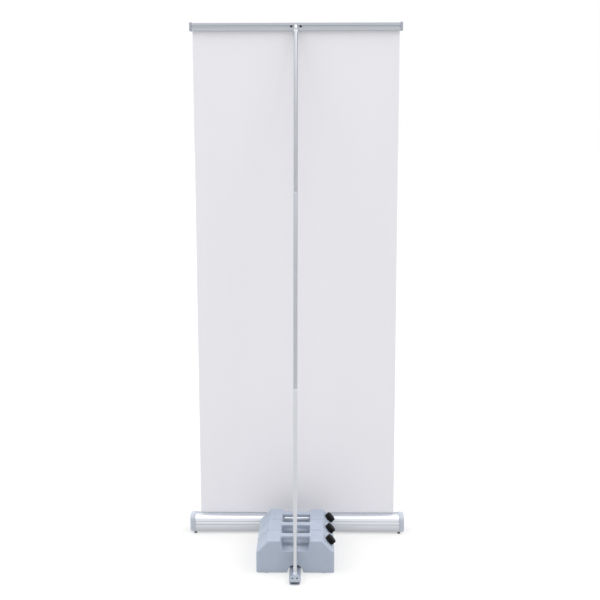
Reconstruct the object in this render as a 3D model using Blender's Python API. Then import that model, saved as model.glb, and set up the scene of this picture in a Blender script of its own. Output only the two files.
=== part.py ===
"""Roll-up banner stand with a rear support foot and three water ballast tanks.

Metres, +Z up. The service side, with the pole, foot and tanks, faces -Y; the banner's display side faces +Y.
Everything is modelled with the banner's plane at Y = 0 and parented to one empty, which then moves the
stand so that its origin is the centre of its footprint on the floor. Left is -X, right is +X.
"""
import math

import bmesh
import bpy
from mathutils import Matrix, Vector

# ---- driving dimensions -------------------------------------------------------------------------------
GAP = 0.0003                  # clearance between neighbouring solids
STAND_SHIFT_Y = 0.2614        # banner plane, measured from the centre of the footprint

BANNER_HALF_WIDTH = 0.425
BANNER_HALF_THICKNESS = 0.0002

CASSETTE_HALF_LENGTH = 0.4477     # aluminium extrusion only
CASSETTE_CAP_LENGTH = 0.022
CASSETTE_TOP = 0.0806
CASSETTE_SKIRT_BOTTOM = 0.0095
CASSETTE_REAR = -0.047
CASSETTE_FRONT = 0.053
CASSETTE_WALL = 0.0018
CASSETTE_WEB_TOP = 0.036
REAR_SHOULDER_RADIUS = 0.020
FRONT_ROUND_RADIUS = 0.0476
SLOT_HALF_WIDTH = 0.0045
GROOVE_HEIGHTS = (0.0557, 0.0410)
GROOVE_HALF_HEIGHT = 0.0007
GROOVE_DEPTH = 0.0008
CAP_MARGIN = 0.0012               # end caps stand this much proud of the extrusion
RUBBER_FOOT_RADIUS = 0.0062
RUBBER_FOOT_X = 0.4470
RUBBER_FOOT_YS = {"rear": -0.038, "front": 0.0435}

ROLLER_Y = 0.0170
ROLLER_Z = 0.0560
ROLLER_RADIUS = 0.0150
ROLLER_WALL = 0.0015
ROLLER_HALF_LENGTH = 0.430
ROLL_RADIUS = 0.0164              # the turns of banner left on the roller
SPRING_RADIUS = 0.0090
SPRING_WIRE_RADIUS = 0.0011
SPRING_TURNS = 16

RAIL_HALF_LENGTH = 0.4272
RAIL_CAP_LENGTH = 0.010
RAIL_BOTTOM = 2.157
RAIL_HEIGHT = 0.032
RAIL_REAR = -0.014
RAIL_FRONT = 0.012
RAIL_WALL = 0.0015
RAIL_CHANNEL_MOUTH = (0.0135, 0.0205)   # heights above the rail's bottom
RAIL_CHANNEL_DEPTH = 0.0050
BEAD_RADIUS = 0.0027
BEAD_HEIGHT = 0.0085
STOP_X = 0.0195

POLE_RADIUS = 0.0082
POLE_WALL = 0.0012
POLE_BASE = Vector((0.0, -0.500, 0.0265))
POLE_TOP = Vector((0.0, -0.0290, 2.150))
POLE_SOCKET_DEPTH = 0.0155
POLE_JOINTS = (0.725, 1.520)      # distances of the two joints from the base
SPIGOT_HALF_LENGTH = 0.050
SPIGOT_RADIUS = POLE_RADIUS - POLE_WALL - GAP
CORD_RADIUS = 0.0020

FOOT_HALF_WIDTH = 0.023
FOOT_BOTTOM = 0.004
FOOT_TOP = 0.0265
FOOT_CORNER = 0.008
FOOT_WALL = 0.002
FOOT_FRONT_Y = 0.040
FOOT_REAR_Y = -0.545
FOOT_TIP_Y = -0.577
RECEIVER_SCREWS = {"rear": (0.0, -0.030), "front": (0.0, 0.040)}

TANK_COUNT = 3
TANK_PITCH = 0.122
TANK_DEPTH = 0.1205
TANK_REAR_Y = -0.465              # rear face of the tank furthest from the banner
TANK_BOTTOM = 0.003
TANK_TOP = 0.137
TANK_SHOULDER = 0.089
TANK_HALF_WIDTH = 0.157
TANK_TOP_HALF_WIDTH = 0.112
TANK_WALL = 0.003
TANK_FOOT_X = 0.120
SADDLE_TOP_HALF_WIDTH = 0.059
SADDLE_FLOOR_HALF_WIDTH = 0.052
SADDLE_FLOOR = 0.094
ARCH_RADIUS = 0.032
HANDLE_FROM = 0.055               # from the tank's rear face
HANDLE_TO = 0.090
HANDLE_THICKNESS = 0.015
WATER_LEVEL = 0.100
WATER_GAP = 0.0010                # to the shell, so that the faceted arches stay apart
NECK_RADIUS = 0.0165
NECK_BORE_RADIUS = 0.0130
NECK_HEIGHT = 0.012
SCREW_CAP_RADIUS = 0.0205
SCREW_CAP_START = 0.0024          # height of the cap's rim above the tank's slope
SCREW_CAP_END = 0.0212

# ---- materials ----------------------------------------------------------------------------------------
MATERIALS = {
    "aluminium": ((0.76, 0.78, 0.81), 0.34, 1.0),
    "pole_aluminium": ((0.84, 0.85, 0.87), 0.30, 1.0),
    "steel": ((0.52, 0.53, 0.55), 0.35, 1.0),
    "grey_plastic": ((0.46, 0.49, 0.53), 0.55, 0.0),
    "tank_plastic": ((0.56, 0.59, 0.66), 0.50, 0.0),
    "white_plastic": ((0.88, 0.88, 0.89), 0.45, 0.0),
    "black_plastic": ((0.02, 0.02, 0.024), 0.45, 0.0),
    "rubber": ((0.03, 0.03, 0.03), 0.85, 0.0),
    "banner_film": ((0.86, 0.85, 0.88), 0.60, 0.0),
    "water": ((0.55, 0.68, 0.75), 0.10, 0.0),
    "elastic_cord": ((0.10, 0.10, 0.11), 0.80, 0.0),
}


def material(name, object_name):
    """A Principled material of the named kind, one for each object."""
    colour, roughness, metallic = MATERIALS[name]
    result = bpy.data.materials.new(f"{object_name}_{name}")
    result.use_nodes = True
    shader = result.node_tree.nodes["Principled BSDF"]
    shader.inputs["Base Color"].default_value = (*colour, 1.0)
    shader.inputs["Roughness"].default_value = roughness
    shader.inputs["Metallic"].default_value = metallic
    return result


# ---- shape helpers ------------------------------------------------------------------------------------
def add_object(name, mesh_builder, kind):
    """Turns a bmesh into a named object with its own material, parented to the stand's empty."""
    bmesh.ops.recalc_face_normals(mesh_builder, faces=mesh_builder.faces)
    mesh = bpy.data.meshes.new(name)
    mesh_builder.to_mesh(mesh)
    mesh_builder.free()
    obj = bpy.data.objects.new(name, mesh)
    bpy.context.collection.objects.link(obj)
    obj.parent = STAND
    mesh.shade_smooth()
    mesh.set_sharp_from_angle(angle=math.radians(30))
    if kind:
        mesh.materials.append(material(kind, name))
    return obj


def hang_on(joint_frame, *objects):
    """Parents objects to an empty on their joint's axis, leaving them where they are."""
    for obj in objects:
        obj.parent = joint_frame
        obj.matrix_parent_inverse = joint_frame.matrix_basis.inverted()


def add_joint_frame(name, place):
    """An empty whose +Z lies along a joint's axis."""
    empty = bpy.data.objects.new(name, None)
    bpy.context.collection.objects.link(empty)
    empty.empty_display_size = 0.02
    empty.parent = STAND
    empty.matrix_basis = place
    return empty


def add_cutter(name, mesh_builder):
    """A guide object for a Boolean, left out of the finished stand."""
    cutter = add_object(name, mesh_builder, None)
    cutter.hide_render = True
    cutter.display_type = "WIRE"
    return cutter


def combine(obj, operation, other):
    """Adds an exact Boolean to obj."""
    modifier = obj.modifiers.new(f"{operation.lower()}_{other.name}", "BOOLEAN")
    modifier.operation = operation
    modifier.solver = "EXACT"
    modifier.object = other


def add_loft(builder, rings):
    """Closed rings of equal length, joined side to side and capped at both ends."""
    loops = [[builder.verts.new(point) for point in ring] for ring in rings]
    for lower, upper in zip(loops, loops[1:]):
        for index in range(len(lower)):
            following = (index + 1) % len(lower)
            builder.faces.new((lower[index], lower[following], upper[following], upper[index]))
    builder.faces.new(loops[0])
    builder.faces.new(loops[-1])


def loft(rings):
    builder = bmesh.new()
    add_loft(builder, rings)
    return builder


def box(x_range, y_range, z_range):
    (x0, x1), (y0, y1), (z0, z1) = x_range, y_range, z_range
    corners = [(x0, y0), (x1, y0), (x1, y1), (x0, y1)]
    return loft([[(x, y, z) for x, y in corners] for z in (z0, z1)])


def along_x(section, x0, x1):
    """Extrudes a (y, z) section from x0 to x1."""
    return loft([[(x, y, z) for y, z in section] for x in (x0, x1)])


def along_y(section, y0, y1):
    """Extrudes an (x, z) section from y0 to y1."""
    return loft([[(x, y, z) for x, z in section] for y in (y0, y1)])


def frame_on(origin, axis):
    """A matrix whose +Z lies along axis, at origin."""
    rotation = Vector((0, 0, 1)).rotation_difference(Vector(axis).normalized())
    return Matrix.Translation(origin) @ rotation.to_matrix().to_4x4()


def add_rod(builder, place, z0, z1, radius, segments):
    """A solid cylinder along place's +Z."""
    angles = [math.tau * index / segments for index in range(segments)]
    circle = [(radius * math.cos(angle), radius * math.sin(angle)) for angle in angles]
    add_loft(builder, [[place @ Vector((x, y, z)) for x, y in circle] for z in (z0, z1)])


def rod(place, z0, z1, radius, segments=32):
    builder = bmesh.new()
    add_rod(builder, place, z0, z1, radius, segments)
    return builder


def turned(place, profile, segments=32):
    """A closed (radius, height) profile that stays off the axis, turned into a ring around place's +Z."""
    builder = bmesh.new()
    rings = []
    for index in range(segments):
        angle = math.tau * index / segments
        ring = [(radius * math.cos(angle), radius * math.sin(angle), height) for radius, height in profile]
        rings.append([builder.verts.new(place @ Vector(point)) for point in ring])
    for index, ring in enumerate(rings):
        after = rings[(index + 1) % segments]
        for step in range(len(profile)):
            onward = (step + 1) % len(profile)
            builder.faces.new((ring[step], after[step], after[onward], ring[onward]))
    return builder


def tube(place, z0, z1, outer, inner, segments=32):
    return turned(place, [(outer, z0), (outer, z1), (inner, z1), (inner, z0)], segments)


def cup(place, profile, segments=32):
    """A (radius, height) outline that starts and ends on place's +Z axis, turned into a closed solid."""
    builder = bmesh.new()
    start = builder.verts.new(place @ Vector((0, 0, profile[0][1])))
    end = builder.verts.new(place @ Vector((0, 0, profile[-1][1])))
    rings = []
    for radius, height in profile[1:-1]:
        angles = [math.tau * index / segments for index in range(segments)]
        points = [(radius * math.cos(angle), radius * math.sin(angle), height) for angle in angles]
        rings.append([builder.verts.new(place @ Vector(point)) for point in points])
    for index in range(segments):
        following = (index + 1) % segments
        builder.faces.new((start, rings[0][following], rings[0][index]))
        builder.faces.new((end, rings[-1][index], rings[-1][following]))
        for lower, upper in zip(rings, rings[1:]):
            builder.faces.new((lower[index], lower[following], upper[following], upper[index]))
    return builder


def arc(centre, radius, start_deg, end_deg, steps):
    """Points on a circle, both ends included."""
    points = []
    for step in range(steps + 1):
        angle = math.radians(start_deg + (end_deg - start_deg) * step / steps)
        points.append((centre[0] + radius * math.cos(angle), centre[1] + radius * math.sin(angle)))
    return points


# ---- cassette -----------------------------------------------------------------------------------------
def cassette_section():
    """The extrusion: a roller chamber with a slot on top, over a channel that is open to the floor."""
    rear_centre = (CASSETTE_REAR + REAR_SHOULDER_RADIUS, CASSETTE_TOP - REAR_SHOULDER_RADIUS)
    front_centre = (CASSETTE_FRONT - FRONT_ROUND_RADIUS, CASSETTE_TOP - FRONT_ROUND_RADIUS)
    web_bottom = CASSETTE_WEB_TOP - CASSETTE_WALL
    inner_rear = CASSETTE_REAR + CASSETTE_WALL
    inner_front = CASSETTE_FRONT - CASSETTE_WALL
    inner_top = CASSETTE_TOP - CASSETTE_WALL
    points = [(-SLOT_HALF_WIDTH, CASSETTE_TOP)]
    points += arc(rear_centre, REAR_SHOULDER_RADIUS, 90, 180, 8)
    for height in GROOVE_HEIGHTS:
        points += [
            (CASSETTE_REAR, height + GROOVE_HALF_HEIGHT),
            (CASSETTE_REAR + GROOVE_DEPTH, height + GROOVE_HALF_HEIGHT),
            (CASSETTE_REAR + GROOVE_DEPTH, height - GROOVE_HALF_HEIGHT),
            (CASSETTE_REAR, height - GROOVE_HALF_HEIGHT),
        ]
    points += [
        (CASSETTE_REAR, CASSETTE_SKIRT_BOTTOM),
        (inner_rear, CASSETTE_SKIRT_BOTTOM),
        (inner_rear, web_bottom),
        (inner_front, web_bottom),
        (inner_front, CASSETTE_SKIRT_BOTTOM),
        (CASSETTE_FRONT, CASSETTE_SKIRT_BOTTOM),
    ]
    points += arc(front_centre, FRONT_ROUND_RADIUS, 0, 90, 10)
    points += [(SLOT_HALF_WIDTH, CASSETTE_TOP), (SLOT_HALF_WIDTH, inner_top)]
    points += arc(front_centre, FRONT_ROUND_RADIUS - CASSETTE_WALL, 90, 0, 10)
    points += [(inner_front, CASSETTE_WEB_TOP), (inner_rear, CASSETTE_WEB_TOP)]
    points += arc(rear_centre, REAR_SHOULDER_RADIUS - CASSETTE_WALL, 180, 90, 8)
    points += [(-SLOT_HALF_WIDTH, inner_top)]
    return points


def end_cap_outline(margin, shrink):
    """The cassette's silhouette, grown by margin and drawn in towards its middle by shrink."""
    rear_centre = (CASSETTE_REAR + REAR_SHOULDER_RADIUS, CASSETTE_TOP - REAR_SHOULDER_RADIUS)
    front_centre = (CASSETTE_FRONT - FRONT_ROUND_RADIUS, CASSETTE_TOP - FRONT_ROUND_RADIUS)
    bottom = CASSETTE_SKIRT_BOTTOM - margin
    corner = 0.006
    points = arc(rear_centre, REAR_SHOULDER_RADIUS + margin, 90, 180, 8)
    points += arc((CASSETTE_REAR - margin + corner, bottom + corner), corner, 180, 270, 3)
    points += arc((CASSETTE_FRONT + margin - corner, bottom + corner), corner, 270, 360, 3)
    points += arc(front_centre, FRONT_ROUND_RADIUS + margin, 0, 90, 10)
    middle = ((CASSETTE_REAR + CASSETTE_FRONT) / 2, (CASSETTE_TOP + CASSETTE_SKIRT_BOTTOM) / 2)
    scale = 1 - shrink
    return [(middle[0] + (y - middle[0]) * scale, middle[1] + (z - middle[1]) * scale) for y, z in points]


def make_cassette():
    """The cassette's extrusion, its slot guides, end caps, feet and screws."""
    body = add_object(
        "cassette_body",
        along_x(cassette_section(), -CASSETTE_HALF_LENGTH, CASSETTE_HALF_LENGTH),
        "aluminium",
    )
    notch = add_cutter("foot_notch_cutter", box((-0.030, 0.030), (-0.050, -0.0450), (0.000, 0.0330)))
    combine(body, "DIFFERENCE", notch)
    holes = bmesh.new()
    for x, y in RECEIVER_SCREWS.values():
        add_rod(holes, Matrix.Translation((x, y, 0)), 0.020, 0.0375, 0.0024, 12)
    combine(body, "DIFFERENCE", add_cutter("web_hole_cutter", holes))

    for side, sign in (("rear", -1), ("front", 1)):
        faces = sorted((sign * 0.0009, sign * (SLOT_HALF_WIDTH - GAP)))
        add_object(
            f"slot_guide_{side}",
            box((-CASSETTE_HALF_LENGTH, CASSETTE_HALF_LENGTH), faces, (CASSETTE_TOP - 0.0024, CASSETTE_TOP + 0.0006)),
            "grey_plastic",
        )

    for side, sign in (("left", -1), ("right", 1)):
        inner = CASSETTE_HALF_LENGTH + GAP
        steps = ((0.0, 0.0), (0.45, 0.008), (0.75, 0.035), (0.92, 0.085), (1.0, 0.15))
        rings = []
        for share, shrink in steps:
            x = sign * (inner + share * CASSETTE_CAP_LENGTH)
            rings.append([(x, y, z) for y, z in end_cap_outline(CAP_MARGIN, shrink)])
        cap = add_object(f"end_cap_{side}", loft(rings), "grey_plastic")
        lug = add_cutter(
            f"end_cap_{side}_lug",
            box(
                sorted((sign * (inner - 0.014), sign * (inner + 0.004))),
                (CASSETTE_REAR + CASSETTE_WALL + 0.0005, CASSETTE_FRONT - CASSETTE_WALL - 0.0005),
                (CASSETTE_SKIRT_BOTTOM - CAP_MARGIN + 0.0003, CASSETTE_WEB_TOP - CASSETTE_WALL - 0.001),
            ),
        )
        combine(cap, "UNION", lug)
        add_end_cap_screws(side, sign, cap)
        for end, y in RUBBER_FOOT_YS.items():
            place = Matrix.Translation((sign * RUBBER_FOOT_X, y, 0))
            top = CASSETTE_SKIRT_BOTTOM - CAP_MARGIN
            add_object(
                f"rubber_foot_{end}_{side}",
                cup(place, [(0, 0), (0.0054, 0), (RUBBER_FOOT_RADIUS, 0.0012), (RUBBER_FOOT_RADIUS, top), (0, top)], 20),
                "rubber",
            )


def add_end_cap_screws(side, sign, cap):
    """Two countersunk screws in each end cap."""
    outer = CASSETTE_HALF_LENGTH + GAP + CASSETTE_CAP_LENGTH
    holes = bmesh.new()
    for end, y in (("rear", -0.028), ("front", 0.034)):
        place = frame_on((sign * outer, y, 0.040), (-sign, 0, 0))
        add_rod(holes, place, -0.004, 0.0035, 0.0042, 16)
        add_object(f"end_cap_screw_{end}_{side}", rod(place, 0.0009, 0.0032, 0.0038, 16), "steel")
    combine(cap, "DIFFERENCE", add_cutter(f"end_cap_{side}_screw_cutter", holes))


# ---- roller -------------------------------------------------------------------------------------------
def roller_place():
    return frame_on((0, ROLLER_Y, ROLLER_Z), (1, 0, 0))


def spring_coil(x0, x1):
    """A helical wire of SPRING_TURNS turns with closed ends."""
    steps_per_turn = 12
    sides = 6
    place = roller_place()
    rings = []
    total = SPRING_TURNS * steps_per_turn
    for step in range(total + 1):
        angle = math.tau * step / steps_per_turn
        along = x0 + (x1 - x0) * step / total
        out = Vector((math.cos(angle), math.sin(angle), 0))
        ring = []
        for side in range(sides):
            turn = math.tau * side / sides
            offset = out * (SPRING_RADIUS + SPRING_WIRE_RADIUS * math.cos(turn))
            ring.append(place @ (offset + Vector((0, 0, along + SPRING_WIRE_RADIUS * math.sin(turn)))))
        rings.append(ring)
    return loft(rings)


def make_roller():
    """The sprung roller inside the cassette, with what is left of the banner on it."""
    place = roller_place()
    inner = ROLLER_RADIUS - ROLLER_WALL
    end = ROLLER_HALF_LENGTH
    axis = add_joint_frame("roller_axis", place)
    turning = [add_object("roller_tube", tube(place, -end, end, ROLLER_RADIUS, inner), "aluminium")]
    turning.append(
        add_object(
            "banner_roll",
            tube(place, -BANNER_HALF_WIDTH, BANNER_HALF_WIDTH, ROLL_RADIUS, ROLLER_RADIUS + GAP),
            "banner_film",
        )
    )
    for side, sign in (("left", -1), ("right", 1)):
        flange_out, flange_in, body_end = sign * (end + 0.0026), sign * (end + GAP), sign * (end - 0.020)
        bore, body, flange = 0.0046, inner - GAP, ROLLER_RADIUS
        profile = [
            (bore, body_end),
            (body, body_end),
            (body, flange_in),
            (flange, flange_in),
            (flange, flange_out),
            (bore, flange_out),
        ]
        turning.append(add_object(f"roller_plug_{side}", turned(place, profile), "black_plastic"))
    turning.append(add_object("spring_end_plug", rod(place, 0.190, 0.203, inner - GAP), "black_plastic"))
    hang_on(axis, *turning)
    axle_end = CASSETTE_HALF_LENGTH
    add_object("roller_axle_left", rod(place, -axle_end, -(end - 0.030), 0.0042, 20), "steel")
    add_object("spring_shaft", rod(place, 0.206, axle_end, 0.0042, 20), "steel")
    add_object("recoil_spring", spring_coil(0.208, 0.404), "steel")


# ---- banner and top rail ------------------------------------------------------------------------------
def rail_section():
    """A top rail with a groove along its rear face and a bead groove open to the floor."""
    low, high = RAIL_CHANNEL_MOUTH
    groove_wall = RAIL_REAR + RAIL_CHANNEL_DEPTH
    corner = 0.004
    fillet = 0.0015
    slit = 0.0008
    pocket = BEAD_RADIUS + GAP
    mouth_deg = math.degrees(math.asin(slit / pocket))
    points = [(RAIL_REAR, 0.0), (-slit, 0.0)]
    points += arc((0.0, BEAD_HEIGHT), pocket, 270 - mouth_deg, -90 + mouth_deg, 12)
    points += [(slit, 0.0), (RAIL_FRONT, 0.0)]
    points += arc((RAIL_FRONT - corner, RAIL_HEIGHT - corner), corner, 0, 90, 4)
    points += arc((RAIL_REAR + corner, RAIL_HEIGHT - corner), corner, 90, 180, 4)
    points += [(RAIL_REAR, high)]
    points += arc((groove_wall - fillet, high - fillet), fillet, 90, 0, 3)
    points += arc((groove_wall - fillet, low + fillet), fillet, 0, -90, 3)
    points += [(RAIL_REAR, low)]
    return [(y, RAIL_BOTTOM + z) for y, z in points]


def rail_hollow_section():
    """The closed chamber in the rail, in front of the groove and above the bead."""
    rear = RAIL_REAR + RAIL_CHANNEL_DEPTH + RAIL_WALL
    front = RAIL_FRONT - RAIL_WALL
    low = BEAD_HEIGHT + BEAD_RADIUS + GAP + RAIL_WALL
    high = RAIL_HEIGHT - RAIL_WALL
    corner = 0.0025
    points = [(rear, low), (front, low)]
    points += arc((front - corner, high - corner), corner, 0, 90, 3)
    points += [(rear, high)]
    return [(y, RAIL_BOTTOM + z) for y, z in points]


def make_top_rail():
    rail = add_object("top_rail", along_x(rail_section(), -RAIL_HALF_LENGTH, RAIL_HALF_LENGTH), "aluminium")
    past_end = RAIL_HALF_LENGTH + 0.01
    combine(rail, "DIFFERENCE", add_cutter("rail_hollow_cutter", along_x(rail_hollow_section(), -past_end, past_end)))
    bead_place = frame_on((0, 0, RAIL_BOTTOM + BEAD_HEIGHT), (1, 0, 0))
    add_object(
        "banner_bead",
        rod(bead_place, -BANNER_HALF_WIDTH, BANNER_HALF_WIDTH, BEAD_RADIUS, 16),
        "white_plastic",
    )
    for side, sign in (("left", -1), ("right", 1)):
        inner = sign * (RAIL_HALF_LENGTH + GAP)
        outer = sign * (RAIL_HALF_LENGTH + GAP + RAIL_CAP_LENGTH)
        rings = []
        for x, margin in ((inner, 0.0010), (inner + (outer - inner) * 0.8, 0.0010), (outer, 0.0)):
            low, high = RAIL_BOTTOM - margin, RAIL_BOTTOM + RAIL_HEIGHT + 0.002 + margin
            rear, front = RAIL_REAR - margin, RAIL_FRONT + margin
            corner = 0.003
            outline = arc((rear + corner, low + corner), corner, 180, 270, 3)
            outline += arc((front - corner, low + corner), corner, 270, 360, 3)
            outline += arc((front - corner, high - corner), corner, 0, 90, 3)
            outline += arc((rear + corner, high - corner), corner, 90, 180, 3)
            rings.append([(x, y, z) for y, z in outline])
        add_object(f"rail_cap_{side}", loft(rings), "grey_plastic")
        add_channel_stop(side, sign)


def add_channel_stop(side, sign):
    """A round button whose shank fills the groove, so that the pole's head can't slide sideways."""
    mouth_middle = RAIL_BOTTOM + sum(RAIL_CHANNEL_MOUTH) / 2
    button = 0.0022
    place = frame_on((sign * STOP_X, RAIL_REAR - button, mouth_middle), (0, 1, 0))
    half_mouth = (RAIL_CHANNEL_MOUTH[1] - RAIL_CHANNEL_MOUTH[0]) / 2 - GAP
    shank_end = button + RAIL_CHANNEL_DEPTH - 0.0020
    outline = [
        (0, 0),
        (0.0040, 0),
        (0.0046, 0.0006),
        (0.0046, button - GAP),
        (half_mouth, button - GAP),
        (half_mouth, shank_end),
        (0, shank_end),
    ]
    add_object(f"channel_stop_{side}", cup(place, outline, 20), "black_plastic")


def make_banner():
    """The stretched sheet, from the roller up to its bead in the top rail."""
    add_object(
        "banner_sheet",
        box(
            (-BANNER_HALF_WIDTH, BANNER_HALF_WIDTH),
            (-BANNER_HALF_THICKNESS, BANNER_HALF_THICKNESS),
            (ROLLER_Z + 0.0005, RAIL_BOTTOM + BEAD_HEIGHT - BEAD_RADIUS - GAP),
        ),
        "banner_film",
    )


# ---- pole ---------------------------------------------------------------------------------------------
def pole_place():
    """+Z runs up the pole from where it enters the foot."""
    return frame_on(POLE_BASE, POLE_TOP - POLE_BASE)


def make_pole():
    """Three tubes on two spigots, an elastic cord through them, and the head that holds the rail up."""
    place = pole_place()
    length = (POLE_TOP - POLE_BASE).length
    inner = POLE_RADIUS - POLE_WALL
    flange = 0.0006
    ends = (-POLE_SOCKET_DEPTH, *POLE_JOINTS, length)
    names = ("pole_lower", "pole_middle", "pole_upper")
    for name, low, high in zip(names, ends, ends[1:]):
        start = low if low < 0 else low + flange + GAP
        stop = high if high == length else high - flange - GAP
        add_object(name, tube(place, start, stop, POLE_RADIUS, inner, 24), "pole_aluminium")
    for name, middle in zip(("pole_spigot_lower", "pole_spigot_upper"), POLE_JOINTS):
        bore = CORD_RADIUS + 0.001
        profile = [
            (bore, middle - SPIGOT_HALF_LENGTH),
            (SPIGOT_RADIUS, middle - SPIGOT_HALF_LENGTH),
            (SPIGOT_RADIUS, middle - flange),
            (POLE_RADIUS - 0.0006, middle - flange),
            (POLE_RADIUS - 0.0006, middle + flange),
            (SPIGOT_RADIUS, middle + flange),
            (SPIGOT_RADIUS, middle + SPIGOT_HALF_LENGTH),
            (bore, middle + SPIGOT_HALF_LENGTH),
        ]
        add_object(name, turned(place, profile, 24), "steel")
    plug_top = 0.030
    head_spigot_bottom = length - 0.025
    add_object(
        "pole_base_plug",
        rod(place, -POLE_SOCKET_DEPTH + GAP, plug_top, SPIGOT_RADIUS, 20),
        "black_plastic",
    )
    add_object(
        "pole_shock_cord",
        rod(place, plug_top + GAP, head_spigot_bottom - GAP, CORD_RADIUS, 10),
        "elastic_cord",
    )
    make_pole_head(place, length, head_spigot_bottom)


def make_pole_head(place, length, spigot_bottom):
    """A plastic head: a plug in the pole, a plate behind the rail and a tongue in the rail's channel."""
    plug_outline = [
        (0, spigot_bottom),
        (SPIGOT_RADIUS, spigot_bottom),
        (SPIGOT_RADIUS, length + GAP),
        (POLE_RADIUS, length + GAP),
        (POLE_RADIUS, length + 0.008),
        (0, length + 0.008),
    ]
    head = add_object("pole_head", cup(place, plug_outline, 24), "white_plastic")
    half_width = 0.006
    rear = POLE_TOP.y - 0.004
    face = RAIL_REAR - 0.0005
    top = RAIL_BOTTOM + RAIL_HEIGHT - 0.003
    tongue_tip = RAIL_REAR + RAIL_CHANNEL_DEPTH - 0.0020
    tongue_low = RAIL_BOTTOM + RAIL_CHANNEL_MOUTH[0] + 0.0004
    tongue_high = RAIL_BOTTOM + RAIL_CHANNEL_MOUTH[1] - GAP
    side_view = [
        (rear, POLE_TOP.z + 0.0035),
        (face, POLE_TOP.z + 0.0025),
        (face, tongue_low),
        (tongue_tip, tongue_low),
        (tongue_tip, tongue_high),
        (face, tongue_high),
        (face, top),
        (face - 0.0045, top),
        (rear, POLE_TOP.z + 0.020),
    ]
    plate = add_cutter("pole_head_plate", along_x(side_view, -half_width, half_width))
    combine(head, "UNION", plate)
    rivet_z = RAIL_BOTTOM + 0.006
    hole_place = frame_on((0, rear - 0.002, rivet_z), (0, 1, 0))
    combine(head, "DIFFERENCE", add_cutter("pole_head_rivet_cutter", rod(hole_place, 0, 0.0070, 0.0021, 16)))
    add_object("pole_head_rivet", rod(hole_place, 0.0024, 0.0066, 0.0018, 16), "steel")


# ---- foot ---------------------------------------------------------------------------------------------
def foot_outline(half_width, bottom, top, corner):
    """An (x, z) outline with rounded upper corners."""
    points = [(-half_width, bottom), (half_width, bottom)]
    points += arc((half_width - corner, top - corner), corner, 0, 90, 5)
    points += arc((-half_width + corner, top - corner), corner, 90, 180, 5)
    return points


def make_foot():
    """The support foot: a receiver under the cassette, the hollow beam, its end piece and its pad."""
    place = pole_place()
    beam = add_object(
        "foot_beam",
        along_y(foot_outline(FOOT_HALF_WIDTH, FOOT_BOTTOM, FOOT_TOP, FOOT_CORNER), FOOT_REAR_Y, FOOT_FRONT_Y),
        "aluminium",
    )
    hollow = along_y(
        foot_outline(
            FOOT_HALF_WIDTH - FOOT_WALL,
            FOOT_BOTTOM + FOOT_WALL,
            FOOT_TOP - FOOT_WALL,
            FOOT_CORNER - FOOT_WALL,
        ),
        FOOT_REAR_Y - 0.01,
        FOOT_FRONT_Y + 0.01,
    )
    combine(beam, "DIFFERENCE", add_cutter("foot_hollow_cutter", hollow))
    pole_hole = rod(place, -0.010, 0.020, POLE_RADIUS + 0.0006, 24)
    combine(beam, "DIFFERENCE", add_cutter("foot_pole_hole_cutter", pole_hole))

    block_half = FOOT_HALF_WIDTH - FOOT_WALL - 0.0005
    block_low = FOOT_BOTTOM + FOOT_WALL + GAP
    block_high = FOOT_TOP - FOOT_WALL - 0.0005
    block_section = foot_outline(block_half, block_low, block_high, FOOT_CORNER - FOOT_WALL)
    socket = add_object("pole_socket", along_y(block_section, -0.5285, -0.478), "grey_plastic")
    bore = rod(place, -POLE_SOCKET_DEPTH - 0.0005, 0.020, POLE_RADIUS + GAP, 24)
    combine(socket, "DIFFERENCE", add_cutter("pole_socket_bore_cutter", bore))

    make_foot_end(block_section)
    make_foot_receiver()


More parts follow.
